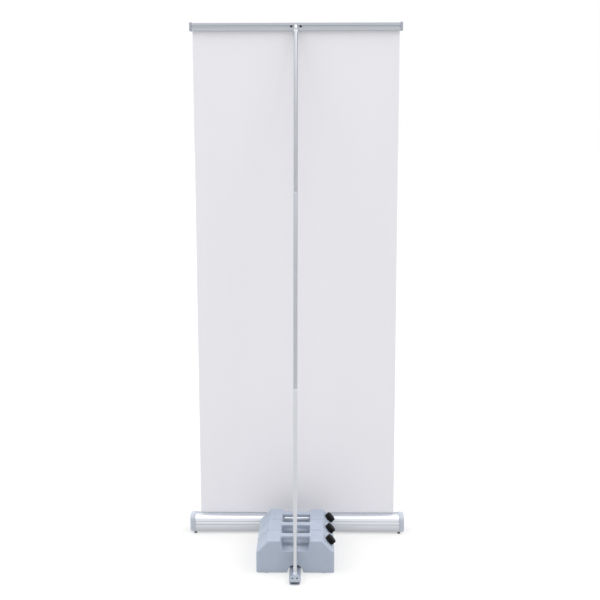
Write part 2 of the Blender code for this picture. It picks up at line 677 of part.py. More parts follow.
def make_foot_end(block_section):
    """The moulded end piece that closes the beam, sloping to the tip, with two screws and a pad."""
    cap_bottom = 0.0100
    start = FOOT_REAR_Y - GAP
    stations = (
        (0.0, FOOT_HALF_WIDTH, FOOT_TOP, FOOT_CORNER),
        (0.22, FOOT_HALF_WIDTH, 0.0258, FOOT_CORNER),
        (0.62, 0.0225, 0.0218, 0.006),
        (0.85, 0.0210, 0.0182, 0.004),
        (0.96, 0.0185, 0.0155, 0.002),
        (1.0, 0.0165, 0.0138, 0.001),
    )
    rings = []
    for share, half_width, top, corner in stations:
        y = start + (FOOT_TIP_Y - start) * share
        rings.append([(x, y, z) for x, z in foot_outline(half_width, cap_bottom, top, corner)])
    cap = add_object("foot_end_cap", loft(rings), "grey_plastic")
    spigot = add_cutter("foot_end_spigot", along_y(block_section, start - 0.003, start + 0.014))
    trim = box((-0.030, 0.030), (start - 0.006, start + 0.002), (0.000, cap_bottom))
    combine(spigot, "DIFFERENCE", add_cutter("foot_end_spigot_trim", trim))
    combine(cap, "UNION", spigot)
    slope_normal = Vector((0, -0.28, 1)).normalized()
    holes = bmesh.new()
    for side, x in (("left", -0.0095), ("right", 0.0095)):
        screw_place = frame_on((x, FOOT_REAR_Y - 0.0165, 0.0226), slope_normal)
        add_rod(holes, screw_place, -0.0075, 0.008, 0.0031, 16)
        add_object(f"foot_end_screw_{side}", rod(screw_place, -0.0070, -0.0008, 0.0027, 16), "black_plastic")
    combine(cap, "DIFFERENCE", add_cutter("foot_end_screw_cutter", holes))

    pad_stations = ((0.0, 1.0), (0.0042, 1.0), (0.0052, 0.95), (0.0052, 0.84), (cap_bottom - GAP, 0.84))
    rear_y, front_y, half_width, corner = FOOT_TIP_Y, FOOT_REAR_Y - 2 * GAP, 0.021, 0.009
    outline = arc((-half_width + corner, rear_y + corner), corner, 180, 270, 5)
    outline += arc((half_width - corner, rear_y + corner), corner, 270, 360, 5)
    outline += [(half_width, front_y), (-half_width, front_y)]
    middle_y = (rear_y + front_y) / 2
    pad_rings = []
    for height, scale in pad_stations:
        pad_rings.append([(x * scale, middle_y + (y - middle_y) * scale, height) for x, y in outline])
    add_object("foot_pad", loft(pad_rings), "grey_plastic")


def make_foot_receiver():
    """A steel sleeve screwed under the cassette's web; the beam plugs into it from behind."""
    side_in = FOOT_HALF_WIDTH + 0.0005
    side_out = side_in + 0.004
    top = CASSETTE_WEB_TOP - CASSETTE_WALL - GAP
    roof = FOOT_TOP + 0.0005
    lip_top = FOOT_BOTTOM - 0.0004
    lip_bottom = lip_top - 0.0016
    lip_x = 0.017
    section = [
        (side_out, lip_bottom),
        (side_out, top),
        (-side_out, top),
        (-side_out, lip_bottom),
        (-lip_x, lip_bottom),
        (-lip_x, lip_top),
        (-side_in, lip_top),
        (-side_in, roof),
        (side_in, roof),
        (side_in, lip_top),
        (lip_x, lip_top),
        (lip_x, lip_bottom),
    ]
    receiver = add_object("foot_receiver", along_y(section, -0.0440, 0.0460), "steel")
    holes = bmesh.new()
    head_low = CASSETTE_WEB_TOP + GAP
    head_high = head_low + 0.0020
    for side, (x, y) in RECEIVER_SCREWS.items():
        place = Matrix.Translation((x, y, 0))
        add_rod(holes, place, roof + 0.0010, top + 0.010, 0.0024, 12)
        shank_low = roof + 0.0014
        outline = [(0, shank_low), (0.0020, shank_low), (0.0020, head_low)]
        outline += [(0.0036, head_low), (0.0036, head_high), (0, head_high)]
        add_object(f"receiver_screw_{side}", cup(place, outline, 12), "steel")
    combine(receiver, "DIFFERENCE", add_cutter("receiver_hole_cutter", holes))


# ---- ballast tanks ------------------------------------------------------------------------------------
def slope_normal_xz():
    """The outward normal of the tank's right-hand slope, as (x, z)."""
    run = TANK_HALF_WIDTH - TANK_TOP_HALF_WIDTH
    rise = TANK_TOP - TANK_SHOULDER
    length = math.hypot(run, rise)
    return rise / length, run / length


def tank_section(inset, top):
    """A tank's (x, z) outline, drawn in by inset and cut off at top."""
    normal_x, normal_z = slope_normal_xz()
    offset = normal_x * TANK_HALF_WIDTH + normal_z * TANK_SHOULDER - inset
    side = TANK_HALF_WIDTH - inset
    shoulder = (offset - normal_x * side) / normal_z
    slope_top = (offset - normal_z * top) / normal_x
    lean = (SADDLE_TOP_HALF_WIDTH - SADDLE_FLOOR_HALF_WIDTH) / (TANK_TOP - SADDLE_FLOOR)
    saddle_top = SADDLE_FLOOR_HALF_WIDTH + lean * (top - SADDLE_FLOOR) + inset
    saddle_floor_x = SADDLE_FLOOR_HALF_WIDTH + inset
    saddle_floor_z = SADDLE_FLOOR - inset
    bottom = TANK_BOTTOM + inset
    arch = ARCH_RADIUS + inset
    start_deg = math.degrees(math.asin(inset / arch))
    right = [(side, bottom), (side, shoulder), (slope_top, top), (saddle_top, top), (saddle_floor_x, saddle_floor_z)]
    left = [(-x, z) for x, z in reversed(right)]
    return right + left + arc((0.0, TANK_BOTTOM), arch, 180 - start_deg, start_deg, 12)


def cap_place(rear_y):
    """+Z runs out of the tank's neck, from the middle of its right-hand slope."""
    normal_x, normal_z = slope_normal_xz()
    middle = (
        (TANK_HALF_WIDTH + TANK_TOP_HALF_WIDTH) / 2,
        rear_y + TANK_DEPTH / 2,
        (TANK_TOP + TANK_SHOULDER) / 2,
    )
    return frame_on(middle, (normal_x, 0, normal_z))


def make_tank(number, rear_y):
    """One ballast tank: a moulded shell over the foot, its water, and a screw cap on a gasket."""
    name = f"tank_{number}"
    front_y = rear_y + TANK_DEPTH
    shell = add_object(f"{name}_shell", along_y(tank_section(0.0, TANK_TOP), rear_y, front_y), "tank_plastic")
    handle = box(
        (-SADDLE_TOP_HALF_WIDTH - 0.0012, SADDLE_TOP_HALF_WIDTH + 0.0012),
        (rear_y + HANDLE_FROM, rear_y + HANDLE_TO),
        (TANK_TOP - HANDLE_THICKNESS, TANK_TOP - 0.0005),
    )
    combine(shell, "UNION", add_cutter(f"{name}_handle", handle))
    place = cap_place(rear_y)
    combine(shell, "UNION", add_cutter(f"{name}_neck", rod(place, -0.002, NECK_HEIGHT, NECK_RADIUS, 24)))
    feet = bmesh.new()
    for x in (-TANK_FOOT_X, TANK_FOOT_X):
        for y in (rear_y + 0.012, front_y - 0.012):
            add_rod(feet, Matrix.Translation((x, y, 0)), 0.0, TANK_BOTTOM + 0.001, 0.007, 12)
    combine(shell, "UNION", add_cutter(f"{name}_feet", feet))
    cavity = along_y(tank_section(TANK_WALL, TANK_TOP - TANK_WALL), rear_y + TANK_WALL, front_y - TANK_WALL)
    combine(shell, "DIFFERENCE", add_cutter(f"{name}_cavity", cavity))
    neck_bore = rod(place, -0.008, NECK_HEIGHT + 0.005, NECK_BORE_RADIUS, 24)
    combine(shell, "DIFFERENCE", add_cutter(f"{name}_neck_bore", neck_bore))

    inset = TANK_WALL + WATER_GAP
    water = along_y(tank_section(inset, WATER_LEVEL), rear_y + inset, front_y - inset)
    add_object(f"{name}_water", water, "water")

    gasket_low = NECK_HEIGHT + GAP
    gasket_high = gasket_low + 0.0020
    gasket = add_object(
        f"{name}_gasket",
        tube(place, gasket_low, gasket_high, NECK_RADIUS - 0.0004, NECK_BORE_RADIUS + 0.0005, 24),
        "rubber",
    )
    inside = NECK_RADIUS + 0.0005
    cap_outline = [
        (0, gasket_high + GAP),
        (inside, gasket_high + GAP),
        (inside, SCREW_CAP_START),
        (SCREW_CAP_RADIUS, SCREW_CAP_START),
        (SCREW_CAP_RADIUS, SCREW_CAP_END - 0.0015),
        (SCREW_CAP_RADIUS - 0.0015, SCREW_CAP_END),
        (0, SCREW_CAP_END),
    ]
    cap = add_object(f"{name}_cap", cup(place, cap_outline, 32), "black_plastic")
    hang_on(add_joint_frame(f"{name}_cap_axis", place), gasket, cap)


def make_tanks():
    for index in range(TANK_COUNT):
        make_tank(index + 1, TANK_REAR_Y + index * TANK_PITCH)


# ---- the stand ----------------------------------------------------------------------------------------
for leftover in list(bpy.data.objects):
    bpy.data.objects.remove(leftover)
STAND = bpy.data.objects.new("stand_frame", None)
STAND.location = (0.0, STAND_SHIFT_Y, 0.0)
bpy.context.collection.objects.link(STAND)

make_cassette()
make_roller()
make_top_rail()
make_banner()
make_pole()
make_foot()
make_tanks()
bpy.context.view_layer.update()
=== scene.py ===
"""Looks for the roll-up banner stand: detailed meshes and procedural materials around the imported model.

Metres, +Z up. The service side, with the pole, foot and tanks, faces -Y. Left is -X, right is +X.
"""

import math

import bmesh
import bpy
from mathutils import Matrix, Vector


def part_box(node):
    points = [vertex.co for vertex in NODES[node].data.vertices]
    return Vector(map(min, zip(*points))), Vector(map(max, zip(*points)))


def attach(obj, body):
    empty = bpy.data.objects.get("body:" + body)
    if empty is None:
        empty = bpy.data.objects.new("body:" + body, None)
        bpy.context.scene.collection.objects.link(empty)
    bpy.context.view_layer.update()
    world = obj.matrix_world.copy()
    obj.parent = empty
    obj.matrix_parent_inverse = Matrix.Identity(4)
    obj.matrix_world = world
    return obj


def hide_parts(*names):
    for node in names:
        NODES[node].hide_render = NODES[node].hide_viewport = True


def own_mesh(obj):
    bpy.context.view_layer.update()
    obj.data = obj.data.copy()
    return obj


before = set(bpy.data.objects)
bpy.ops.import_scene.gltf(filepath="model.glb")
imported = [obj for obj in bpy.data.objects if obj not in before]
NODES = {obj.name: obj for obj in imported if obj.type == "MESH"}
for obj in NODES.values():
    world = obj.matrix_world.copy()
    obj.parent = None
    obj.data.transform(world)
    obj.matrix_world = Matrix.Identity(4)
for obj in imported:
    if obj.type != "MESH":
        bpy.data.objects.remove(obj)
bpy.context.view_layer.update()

# ---- places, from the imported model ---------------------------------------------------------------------
SHEET_LOW, SHEET_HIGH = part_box("banner_sheet")
PLANE_Y = (SHEET_LOW[1] + SHEET_HIGH[1]) / 2
BANNER_HALF_WIDTH = SHEET_HIGH[0]
GAP = 0.0003

CASSETTE_LOW, CASSETTE_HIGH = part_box("cassette_body")
CASSETTE_HALF_LENGTH = CASSETTE_HIGH[0]
CASSETTE_TOP = CASSETTE_HIGH[2]
CASSETTE_BOTTOM = CASSETTE_LOW[2]
CASSETTE_REAR = CASSETTE_LOW[1]
CASSETTE_FRONT = CASSETTE_HIGH[1]
CASSETTE_WALL = 0.0018
CASSETTE_GROOVES = (0.0557, 0.0410)
FOOT_NOTCH_HALF_WIDTH = 0.030
FOOT_NOTCH_TOP = 0.033
END_CAP_MARGIN = 0.0012
END_CAP_CORNER = 0.006
END_SCREW_HEIGHT = 0.040
END_SCREW_OFFSETS = {"rear": -0.028, "front": 0.034}
WEB_TOP = 0.036
SLOT_HALF_WIDTH = 0.0045
REAR_SHOULDER_RADIUS = 0.020
FRONT_ROUND_RADIUS = 0.0476
END_CAP_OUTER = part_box("end_cap_right")[1][0]

RAIL_LOW, RAIL_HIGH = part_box("top_rail")
RAIL_BOTTOM = RAIL_LOW[2]
RAIL_TOP = RAIL_HIGH[2]
RAIL_GROOVE = (RAIL_BOTTOM + 0.0135, RAIL_BOTTOM + 0.0205)
RAIL_GROOVE_DEPTH = 0.005
RAIL_WALL = 0.0015

POLE_BASE = Vector((0.0, PLANE_Y - 0.500, 0.0265))
POLE_TOP = Vector((0.0, PLANE_Y - 0.0290, 2.150))
POLE_LENGTH = (POLE_TOP - POLE_BASE).length
POLE_RADIUS = 0.0082
POLE_WALL = 0.0012
POLE_JOINTS = (0.725, 1.520)
POLE_SOCKET_DEPTH = 0.0155

BEAM_LOW, BEAM_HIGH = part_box("foot_beam")
FOOT_HALF_WIDTH = BEAM_HIGH[0]
FOOT_TOP = BEAM_HIGH[2]
FOOT_BOTTOM = BEAM_LOW[2]
FOOT_CORNER = 0.008
FOOT_WALL = 0.002
PAD_LOW, PAD_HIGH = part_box("foot_pad")
FOOT_GROOVE_HEIGHTS = (0.0085, 0.0120)
FOOT_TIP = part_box("foot_end_cap")[0][1]

TANK_DEPTH = 0.1205
TANK_BOTTOM = 0.003
TANK_TOP = 0.137
TANK_SHOULDER = 0.089
TANK_HALF_WIDTH = 0.157
TANK_TOP_HALF_WIDTH = 0.112
SADDLE_TOP_HALF_WIDTH = 0.059
SADDLE_FLOOR_HALF_WIDTH = 0.052
SADDLE_FLOOR = 0.094
ARCH_RADIUS = 0.032
HANDLE_FROM = 0.055
HANDLE_TO = 0.090
HANDLE_THICKNESS = 0.015
TANK_FOOT_X = 0.114
TANK_FOOT_INSET = 0.0088
NECK_RADIUS = 0.0165
NECK_BORE_RADIUS = 0.0130
NECK_HEIGHT = 0.012
SCREW_CAP_RADIUS = 0.0205
SCREW_CAP_START = 0.0024
SCREW_CAP_END = 0.0212


# ---- shader nodes --------------------------------------------------------------------------------------
class Nodes:
    """Short ways to wire a node tree."""

    def __init__(self, tree):
        self.tree = tree

    def link(self, output, socket):
        self.tree.links.new(output, socket)

    def node(self, kind, **values):
        made = self.tree.nodes.new(kind)
        for key, value in values.items():
            setattr(made, key, value)
        return made

    def between(self, value, low, high, out_low=0.0, out_high=1.0, smooth=False):
        """The value, mapped from low and high to out_low and out_high, and held outside them."""
        mapped = self.node("ShaderNodeMapRange", interpolation_type="SMOOTHSTEP" if smooth else "LINEAR")
        self.link(value, mapped.inputs["Value"])
        limits = {"From Min": low, "From Max": high, "To Min": out_low, "To Max": out_high}
        for socket, number in limits.items():
            mapped.inputs[socket].default_value = number
        return mapped.outputs["Result"]

    def math(self, operation, first, second=None):
        made = self.node("ShaderNodeMath", operation=operation)
        for socket, value in zip(made.inputs, (first, second)):
            if hasattr(value, "is_linked"):
                self.link(value, socket)
            elif value is not None:
                socket.default_value = value
        return made.outputs["Value"]


class Shader(Nodes):
    """A Principled material. Its textures read object coordinates, in metres."""

    def __init__(self, name, colour, roughness, metallic=0.0, **sockets):
        self.material = bpy.data.materials.new(name)
        self.material.use_nodes = True
        super().__init__(self.material.node_tree)
        self.bsdf = self.tree.nodes["Principled BSDF"]
        self.bsdf.inputs["Base Color"].default_value = (*colour, 1.0)
        self.bsdf.inputs["Roughness"].default_value = roughness
        self.bsdf.inputs["Metallic"].default_value = metallic
        for socket, value in sockets.items():
            self.bsdf.inputs[socket.replace("_", " ")].default_value = value
        self.coords = self.node("ShaderNodeTexCoord").outputs["Object"]
        self.heights = []

    def placed(self, stretch=(1, 1, 1), offset=(0, 0, 0), rotation=(0, 0, 0)):
        """Object coordinates in a turned frame, shrunk by stretch along each of its axes."""
        mapping = self.node("ShaderNodeMapping", vector_type="TEXTURE")
        mapping.inputs["Scale"].default_value = tuple(1 / share for share in stretch)
        mapping.inputs["Location"].default_value = offset
        mapping.inputs["Rotation"].default_value = rotation
        self.link(self.coords, mapping.inputs["Vector"])
        return mapping.outputs["Vector"]

    def noise(self, scale, stretch=(1, 1, 1), detail=3.0, rough=0.55, **placing):
        texture = self.node("ShaderNodeTexNoise")
        texture.inputs["Scale"].default_value = scale
        texture.inputs["Detail"].default_value = detail
        texture.inputs["Roughness"].default_value = rough
        self.link(self.placed(stretch, **placing), texture.inputs["Vector"])
        return texture.outputs["Fac"]

    def mixed(self, factor, first, second, blend="MIX"):
        made = self.node("ShaderNodeMix", data_type="RGBA", blend_type=blend)
        colours = [socket for socket in made.inputs if socket.type == "RGBA"]
        amount = [socket for socket in made.inputs if socket.type == "VALUE"][0]
        if hasattr(factor, "is_linked"):
            self.link(factor, amount)
        else:
            amount.default_value = factor
        for socket, value in zip(colours, (first, second)):
            if hasattr(value, "is_linked"):
                self.link(value, socket)
            else:
                socket.default_value = (*value, 1.0)
        return [socket for socket in made.outputs if socket.type == "RGBA"][0]

    def axis(self, name):
        split = self.node("ShaderNodeSeparateXYZ")
        self.link(self.coords, split.inputs["Vector"])
        return split.outputs[name]

    def edges(self, low, high):
        """Near 1 on convex edges of the mesh."""
        return self.between(self.node("ShaderNodeNewGeometry").outputs["Pointiness"], low, high)

    def paint(self, colour):
        self.link(colour, self.bsdf.inputs["Base Color"])

    def polish(self, roughness):
        self.link(roughness, self.bsdf.inputs["Roughness"])

    def relief(self, height, depth):
        """Adds a height map, 0 to 1, that stands depth metres high."""
        self.heights.append((height, depth))

    def finished(self):
        before = None
        for height, depth in self.heights:
            bump = self.node("ShaderNodeBump")
            bump.inputs["Strength"].default_value = 1.0
            bump.inputs["Distance"].default_value = depth
            self.link(height, bump.inputs["Height"])
            if before:
                self.link(before, bump.inputs["Normal"])
            before = bump.outputs["Normal"]
        if before:
            self.link(before, self.bsdf.inputs["Normal"])
        return self.material


def scaled(colour, factor):
    return tuple(min(1.0, channel * factor) for channel in colour)


def drawn_metal(name, colour, roughness, along, streak=0.035, lean=0.0, painted_low_shade=None, **sockets):
    """Anodised aluminium or drawn steel with fine lines along one axis, which lean turns about X.

    A (height, height, tone) paints shade darker towards the bottom: the tone is full below the first height
    and gone above the second.
    """
    shader = Shader(name, colour, roughness, 1.0, **sockets)
    fine = tuple(0.0015 if axis else 1.0 for axis in along)
    turn = (lean, 0, 0)
    lines = shader.noise(1500.0, fine, 2.0, rotation=turn)
    broad = shader.noise(160.0, fine, 3.0, rotation=turn)
    cloud = shader.noise(9.0, detail=4.0)
    dark, pale = scaled(colour, 1 - streak), scaled(colour, 1 + streak)
    streaks = shader.mixed(shader.between(lines, 0.30, 0.70), dark, pale)
    banded = shader.mixed(shader.between(broad, 0.35, 0.65), dark, pale)
    painted = shader.mixed(0.3, streaks, banded)
    smudge = shader.between(cloud, 0.52, 0.75, 0.0, 0.10, True)
    painted = shader.mixed(smudge, painted, scaled(colour, 0.90))
    painted = shader.mixed(shader.edges(0.515, 0.56), painted, scaled(colour, 1.10))
    # Painted shade: the colour darkens towards the bottom by the given tone.
    if painted_low_shade:
        low, high, tone = painted_low_shade
        below = shader.between(shader.axis("Z"), low, high, 1.0, 0.0)
        painted = shader.mixed(below, painted, scaled(colour, tone))
    shader.paint(painted)
    rough = shader.math("ADD", shader.between(lines, 0.2, 0.8, roughness - 0.04, roughness + 0.04), smudge)
    shader.polish(rough)
    shader.relief(lines, 0.000008)
    shader.relief(broad, 0.000012)
    return shader.finished()


def moulded(name, colour, roughness, texture=1400.0, depth=0.00002, wear=0.25, dust=0.10, **sockets):
    """Injection moulded plastic: spark texture, faint flow marks, paler worn edges and a little dust."""
    shader = Shader(name, colour, roughness, 0.0, **sockets)
    grain = shader.noise(texture, detail=2.0)
    flow = shader.noise(26.0, (1, 0.5, 1.6), 4.0)
    cloud = shader.noise(11.0, detail=5.0, offset=(3, 1, 7))
    painted = shader.mixed(shader.between(flow, 0.3, 0.7), scaled(colour, 0.93), scaled(colour, 1.06))
    dusty = tuple(channel * 0.6 + 0.25 for channel in colour)
    painted = shader.mixed(shader.between(cloud, 0.50, 0.75, 0.0, dust, True), painted, dusty)
    pale = tuple(min(1.0, channel * 1.15 + 0.03) for channel in colour)
    worn = shader.math("MULTIPLY", shader.edges(0.52, 0.60), wear)
    shader.paint(shader.mixed(worn, painted, pale))
    shader.polish(shader.between(cloud, 0.3, 0.7, roughness - 0.06, roughness + 0.08))
    shader.relief(grain, depth)
    shader.relief(flow, depth * 4)
    return shader.finished()


def rubber(name, colour=(0.022, 0.022, 0.023)):
    shader = Shader(name, colour, 0.82)
    grain = shader.noise(900.0, detail=4.0)
    cloud = shader.noise(60.0, detail=4.0)
    painted = shader.mixed(shader.between(cloud, 0.45, 0.75, 0.0, 0.5), colour, (0.09, 0.088, 0.085))
    shader.paint(shader.mixed(shader.edges(0.52, 0.6), painted, (0.075, 0.075, 0.075)))
    shader.polish(shader.between(grain, 0.3, 0.7, 0.70, 0.92))
    shader.relief(grain, 0.00004)
    return shader.finished()


def tank_plastic(name, middle_y, shift):
    """Blow moulded polyethylene: satin, orange-peel skin, a parting line, scuffs and painted shade
    darkening the lowest 30 mm.
    """
    colour = TANK_COLOUR
    shader = Shader(name, colour, 0.44, 0.0, Subsurface_Weight=0.06, Specular_IOR_Level=0.42)
    shader.bsdf.inputs["Subsurface Radius"].default_value = (0.004, 0.004, 0.005)
    peel = shader.noise(420.0, detail=2.0, offset=shift)
    skin = shader.noise(1600.0, detail=2.0)
    flow = shader.noise(8.0, (1, 1, 0.45), 4.0, offset=shift)
    cloud = shader.noise(34.0, detail=6.0, offset=shift)
    painted = shader.mixed(shader.between(flow, 0.32, 0.68), scaled(colour, 0.95), scaled(colour, 1.04))
    scuff_field = shader.noise(26.0, (1, 1, 7), 7.0, 0.65, offset=shift)
    scuffs = shader.between(scuff_field, 0.62, 0.70, 0.0, 0.28, True)
    painted = shader.mixed(scuffs, painted, scaled(colour, 1.22))
    # Painted shade: darker towards the floor over the lowest 30 mm, broken up by noise.
    floor_shade = shader.math("MULTIPLY", shader.between(shader.axis("Z"), 0.0, 0.030, 0.30, 0.0, True), cloud)
    painted = shader.mixed(floor_shade, painted, scaled(colour, 0.62))
    shader.paint(shader.mixed(shader.edges(0.515, 0.57), painted, scaled(colour, 1.13)))
    shader.polish(shader.between(cloud, 0.3, 0.7, 0.40, 0.52))
    from_parting = shader.math("ABSOLUTE", shader.math("SUBTRACT", shader.axis("Y"), middle_y))
    shader.relief(shader.between(from_parting, 0.0002, 0.0011, 1.0, 0.0, True), 0.00028)
    shader.relief(peel, 0.00011)
    shader.relief(skin, 0.000012)
    return shader.finished()


def banner_film(name, colour, depth=0.00001):
    """Smooth matt polyester film: a hair-fine weave, faint broad tone changes and handling marks."""
    shader = Shader(name, colour, 0.56, 0.0, Sheen_Weight=0.12, Specular_IOR_Level=0.35)
    weft = shader.noise(2600.0, (0.05, 1, 1), 1.0)
    warp = shader.noise(2600.0, (1, 1, 0.05), 1.0)
    weave = shader.math("ADD", weft, warp)
    broad = shader.noise(2.2, (1.6, 1, 0.35), 4.0)
    rolled = shader.noise(5.0, (0.05, 1, 2.6), 4.0)
    tone = shader.mixed(shader.between(broad, 0.3, 0.7), scaled(colour, 0.986), scaled(colour, 1.012))
    tone = shader.mixed(shader.between(weave, 0.8, 1.2, 0.0, 0.35), tone, scaled(colour, 0.975))
    tone = shader.mixed(shader.between(rolled, 0.55, 0.75, 0.0, 0.25, True), tone, scaled(colour, 0.965))
    shader.paint(tone)
    shader.polish(shader.between(rolled, 0.3, 0.7, 0.50, 0.62))
    shader.relief(weave, depth)
    shader.relief(rolled, 0.00006)
    return shader.finished()


# ---- mesh helpers --------------------------------------------------------------------------------------
def arc(centre, radius, start_deg, end_deg, steps):
    points = []
    for step in range(steps + 1):
        angle = math.radians(start_deg + (end_deg - start_deg) * step / steps)
        points.append((centre[0] + radius * math.cos(angle), centre[1] + radius * math.sin(angle)))
    return points


def rounded(corners, steps=5):
    """A closed outline of (u, v, radius) corners with each corner rounded."""
    points = []
    count = len(corners)
    for index, (u, v, radius) in enumerate(corners):
        here = Vector((u, v))
        if radius <= 0:
            points.append((u, v))
            continue
        before = (Vector(corners[index - 1][:2]) - here).normalized()
        after = (Vector(corners[(index + 1) % count][:2]) - here).normalized()
        half = before.angle(after) / 2
        reach = radius / math.tan(half)
        centre = here + (before + after).normalized() * (radius / math.sin(half))
        start = here + before * reach - centre
        turn = math.pi - 2 * half
        side = -1.0 if before.cross(after) > 0 else 1.0
        for step in range(steps + 1):
            angle = side * turn * step / steps
            cos, sin = math.cos(angle), math.sin(angle)
            offset = Vector((start.x * cos - start.y * sin, start.x * sin + start.y * cos))
            points.append(tuple(centre + offset))
    return points


def loft(rings, capped=True):
    """Closed rings of equal length, joined side to side."""
    builder = bmesh.new()
    loops = [[builder.verts.new(point) for point in ring] for ring in rings]
    for lower, upper in zip(loops, loops[1:]):
        for index in range(len(lower)):
            following = (index + 1) % len(lower)
            builder.faces.new((lower[index], lower[following], upper[following], upper[index]))
    if capped:
        builder.faces.new(loops[0])
        builder.faces.new(loops[-1])
    return builder


def along_x(section, *stations):
    return loft([[(x, y, z) for y, z in section] for x in stations])


def along_y(section, *stations):
    return loft([[(x, y, z) for x, z in section] for y in stations])


def block(low, high):
    (x0, y0, z0), (x1, y1, z1) = low, high
    return loft([[(x0, y0, z), (x1, y0, z), (x1, y1, z), (x0, y1, z)] for z in (z0, z1)])


def frame_on(origin, axis):
    rotation = Vector((0, 0, 1)).rotation_difference(Vector(axis).normalized())
    return Matrix.Translation(origin) @ rotation.to_matrix().to_4x4()


def turned(place, profile, segments=48, wobble=None):
    """A (radius, height) profile turned round place's +Z. It closes on itself, or on the axis."""
    builder = bmesh.new()
    open_ends = profile[0][0] == 0 and profile[-1][0] == 0
    rings = []
    for radius, height in profile:
        if radius == 0:
            rings.append([builder.verts.new(place @ Vector((0, 0, height)))])
            continue
        ring = []
        for index in range(segments):
            angle = math.tau * index / segments
            size = radius if wobble is None else wobble(radius, height, angle)
            point = Vector((size * math.cos(angle), size * math.sin(angle), height))
            ring.append(builder.verts.new(place @ point))
        rings.append(ring)
    pairs = list(zip(rings, rings[1:]))
    if not open_ends:
        pairs.append((rings[-1], rings[0]))
    for lower, upper in pairs:
        for index in range(segments):
            following = (index + 1) % segments
            if len(lower) == 1:
                builder.faces.new((lower[0], upper[following], upper[index]))
            elif len(upper) == 1:
                builder.faces.new((lower[index], lower[following], upper[0]))
            else:
                builder.faces.new((lower[index], lower[following], upper[following], upper[index]))
    return builder


def joined(*builders):
    """Several meshes as one."""
    whole = builders[0]
    for other in builders[1:]:
        mesh = bpy.data.meshes.new("part_of_whole")
        other.to_mesh(mesh)
        other.free()
        whole.from_mesh(mesh)
        bpy.data.meshes.remove(mesh)
    return whole


def shade(obj, angle):
    """Smooth shading, with edges over angle degrees sharp."""
    obj.data.shade_smooth()
    obj.data.set_sharp_from_angle(angle=math.radians(angle))


def make_object(name, builder, material=None, angle=35):
    bmesh.ops.recalc_face_normals(builder, faces=builder.faces)
    mesh = bpy.data.meshes.new(name)
    builder.to_mesh(mesh)
    builder.free()
    obj = bpy.data.objects.new(name, mesh)
    bpy.context.collection.objects.link(obj)
    shade(obj, angle)
    if material:
        mesh.materials.append(material)
    return obj


def apply_modifiers(obj):
    evaluated = obj.evaluated_get(bpy.context.evaluated_depsgraph_get())
    mesh = bpy.data.meshes.new_from_object(evaluated)
    old = obj.data
    obj.modifiers.clear()
    obj.data = mesh
    bpy.data.meshes.remove(old)


def combine(obj, operation, *builders):
    """Exact Booleans, applied at once."""
    cutters = []
    for builder in builders:
        cutter = make_object(f"{obj.name}_cutter", builder)
        modifier = obj.modifiers.new("cut", "BOOLEAN")
        modifier.operation = operation
        modifier.solver = "EXACT"
        modifier.object = cutter
        cutters.append(cutter)
    apply_modifiers(obj)
    for cutter in cutters:
        mesh = cutter.data
        bpy.data.objects.remove(cutter)
        bpy.data.meshes.remove(mesh)


def soften(obj, width, segments=2, angle=32):
    """Small rounded edges."""
    modifier = obj.modifiers.new("edge_round", "BEVEL")
    modifier.width = width
    modifier.segments = segments
    modifier.limit_method = "ANGLE"
    modifier.angle_limit = math.radians(angle)
    modifier.miter_outer = "MITER_ARC"
    modifier.use_clamp_overlap = True
    apply_modifiers(obj)
    shade(obj, 50)


def settle(obj, body, slot, *nodes):
    """Says what a finished piece rides on and hides the CAD nodes it stands for. The slot argument is not
    used.
    """
    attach(obj, body)
    if nodes:
        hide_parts(*nodes)


def dress(node, material):
    """Gives a CAD node that stays a better material."""
    obj = NODES[node]
    obj.data.materials.clear()
    obj.data.materials.append(material)


# ---- materials -----------------------------------------------------------------------------------------
TANK_COLOUR = (0.293, 0.333, 0.403)
POLE_LEAN = -math.atan2(POLE_TOP.y - POLE_BASE.y, POLE_TOP.z - POLE_BASE.z)
ALUMINIUM = drawn_metal("anodised_aluminium", (0.695, 0.72, 0.765), 0.27, (1, 0, 0), 0.035, Anisotropic=0.4)
# Painted shade on the cassette: darker towards the floor, fading out by 58 mm.
CASSETTE_PAINTED_SHADE = (CASSETTE_BOTTOM, 0.058, 0.68)
CASSETTE_ALUMINIUM = drawn_metal(
    "cassette_aluminium", (0.67, 0.69, 0.73), 0.36, (1, 0, 0), 0.035, painted_low_shade=CASSETTE_PAINTED_SHADE, Anisotropic=0.3
)
# A darker copy of the aluminium for the grooves' faces: painted shade in the recesses.
GROOVE_SHADE_ALUMINIUM = drawn_metal("groove_painted_shade_aluminium", (0.40, 0.41, 0.44), 0.5, (1, 0, 0), 0.035)
RAIL_ALUMINIUM = drawn_metal("rail_aluminium", (0.43, 0.45, 0.485), 0.32, (1, 0, 0), 0.035, Anisotropic=0.4)
FOOT_ALUMINIUM = drawn_metal("foot_aluminium", (0.60, 0.63, 0.67), 0.36, (0, 1, 0), 0.05, Anisotropic=0.4)
POLE_ALUMINIUM = drawn_metal(
    "pole_aluminium", (0.43, 0.445, 0.475), 0.28, (0, 0, 1), 0.04, POLE_LEAN, Anisotropic=0.3
)
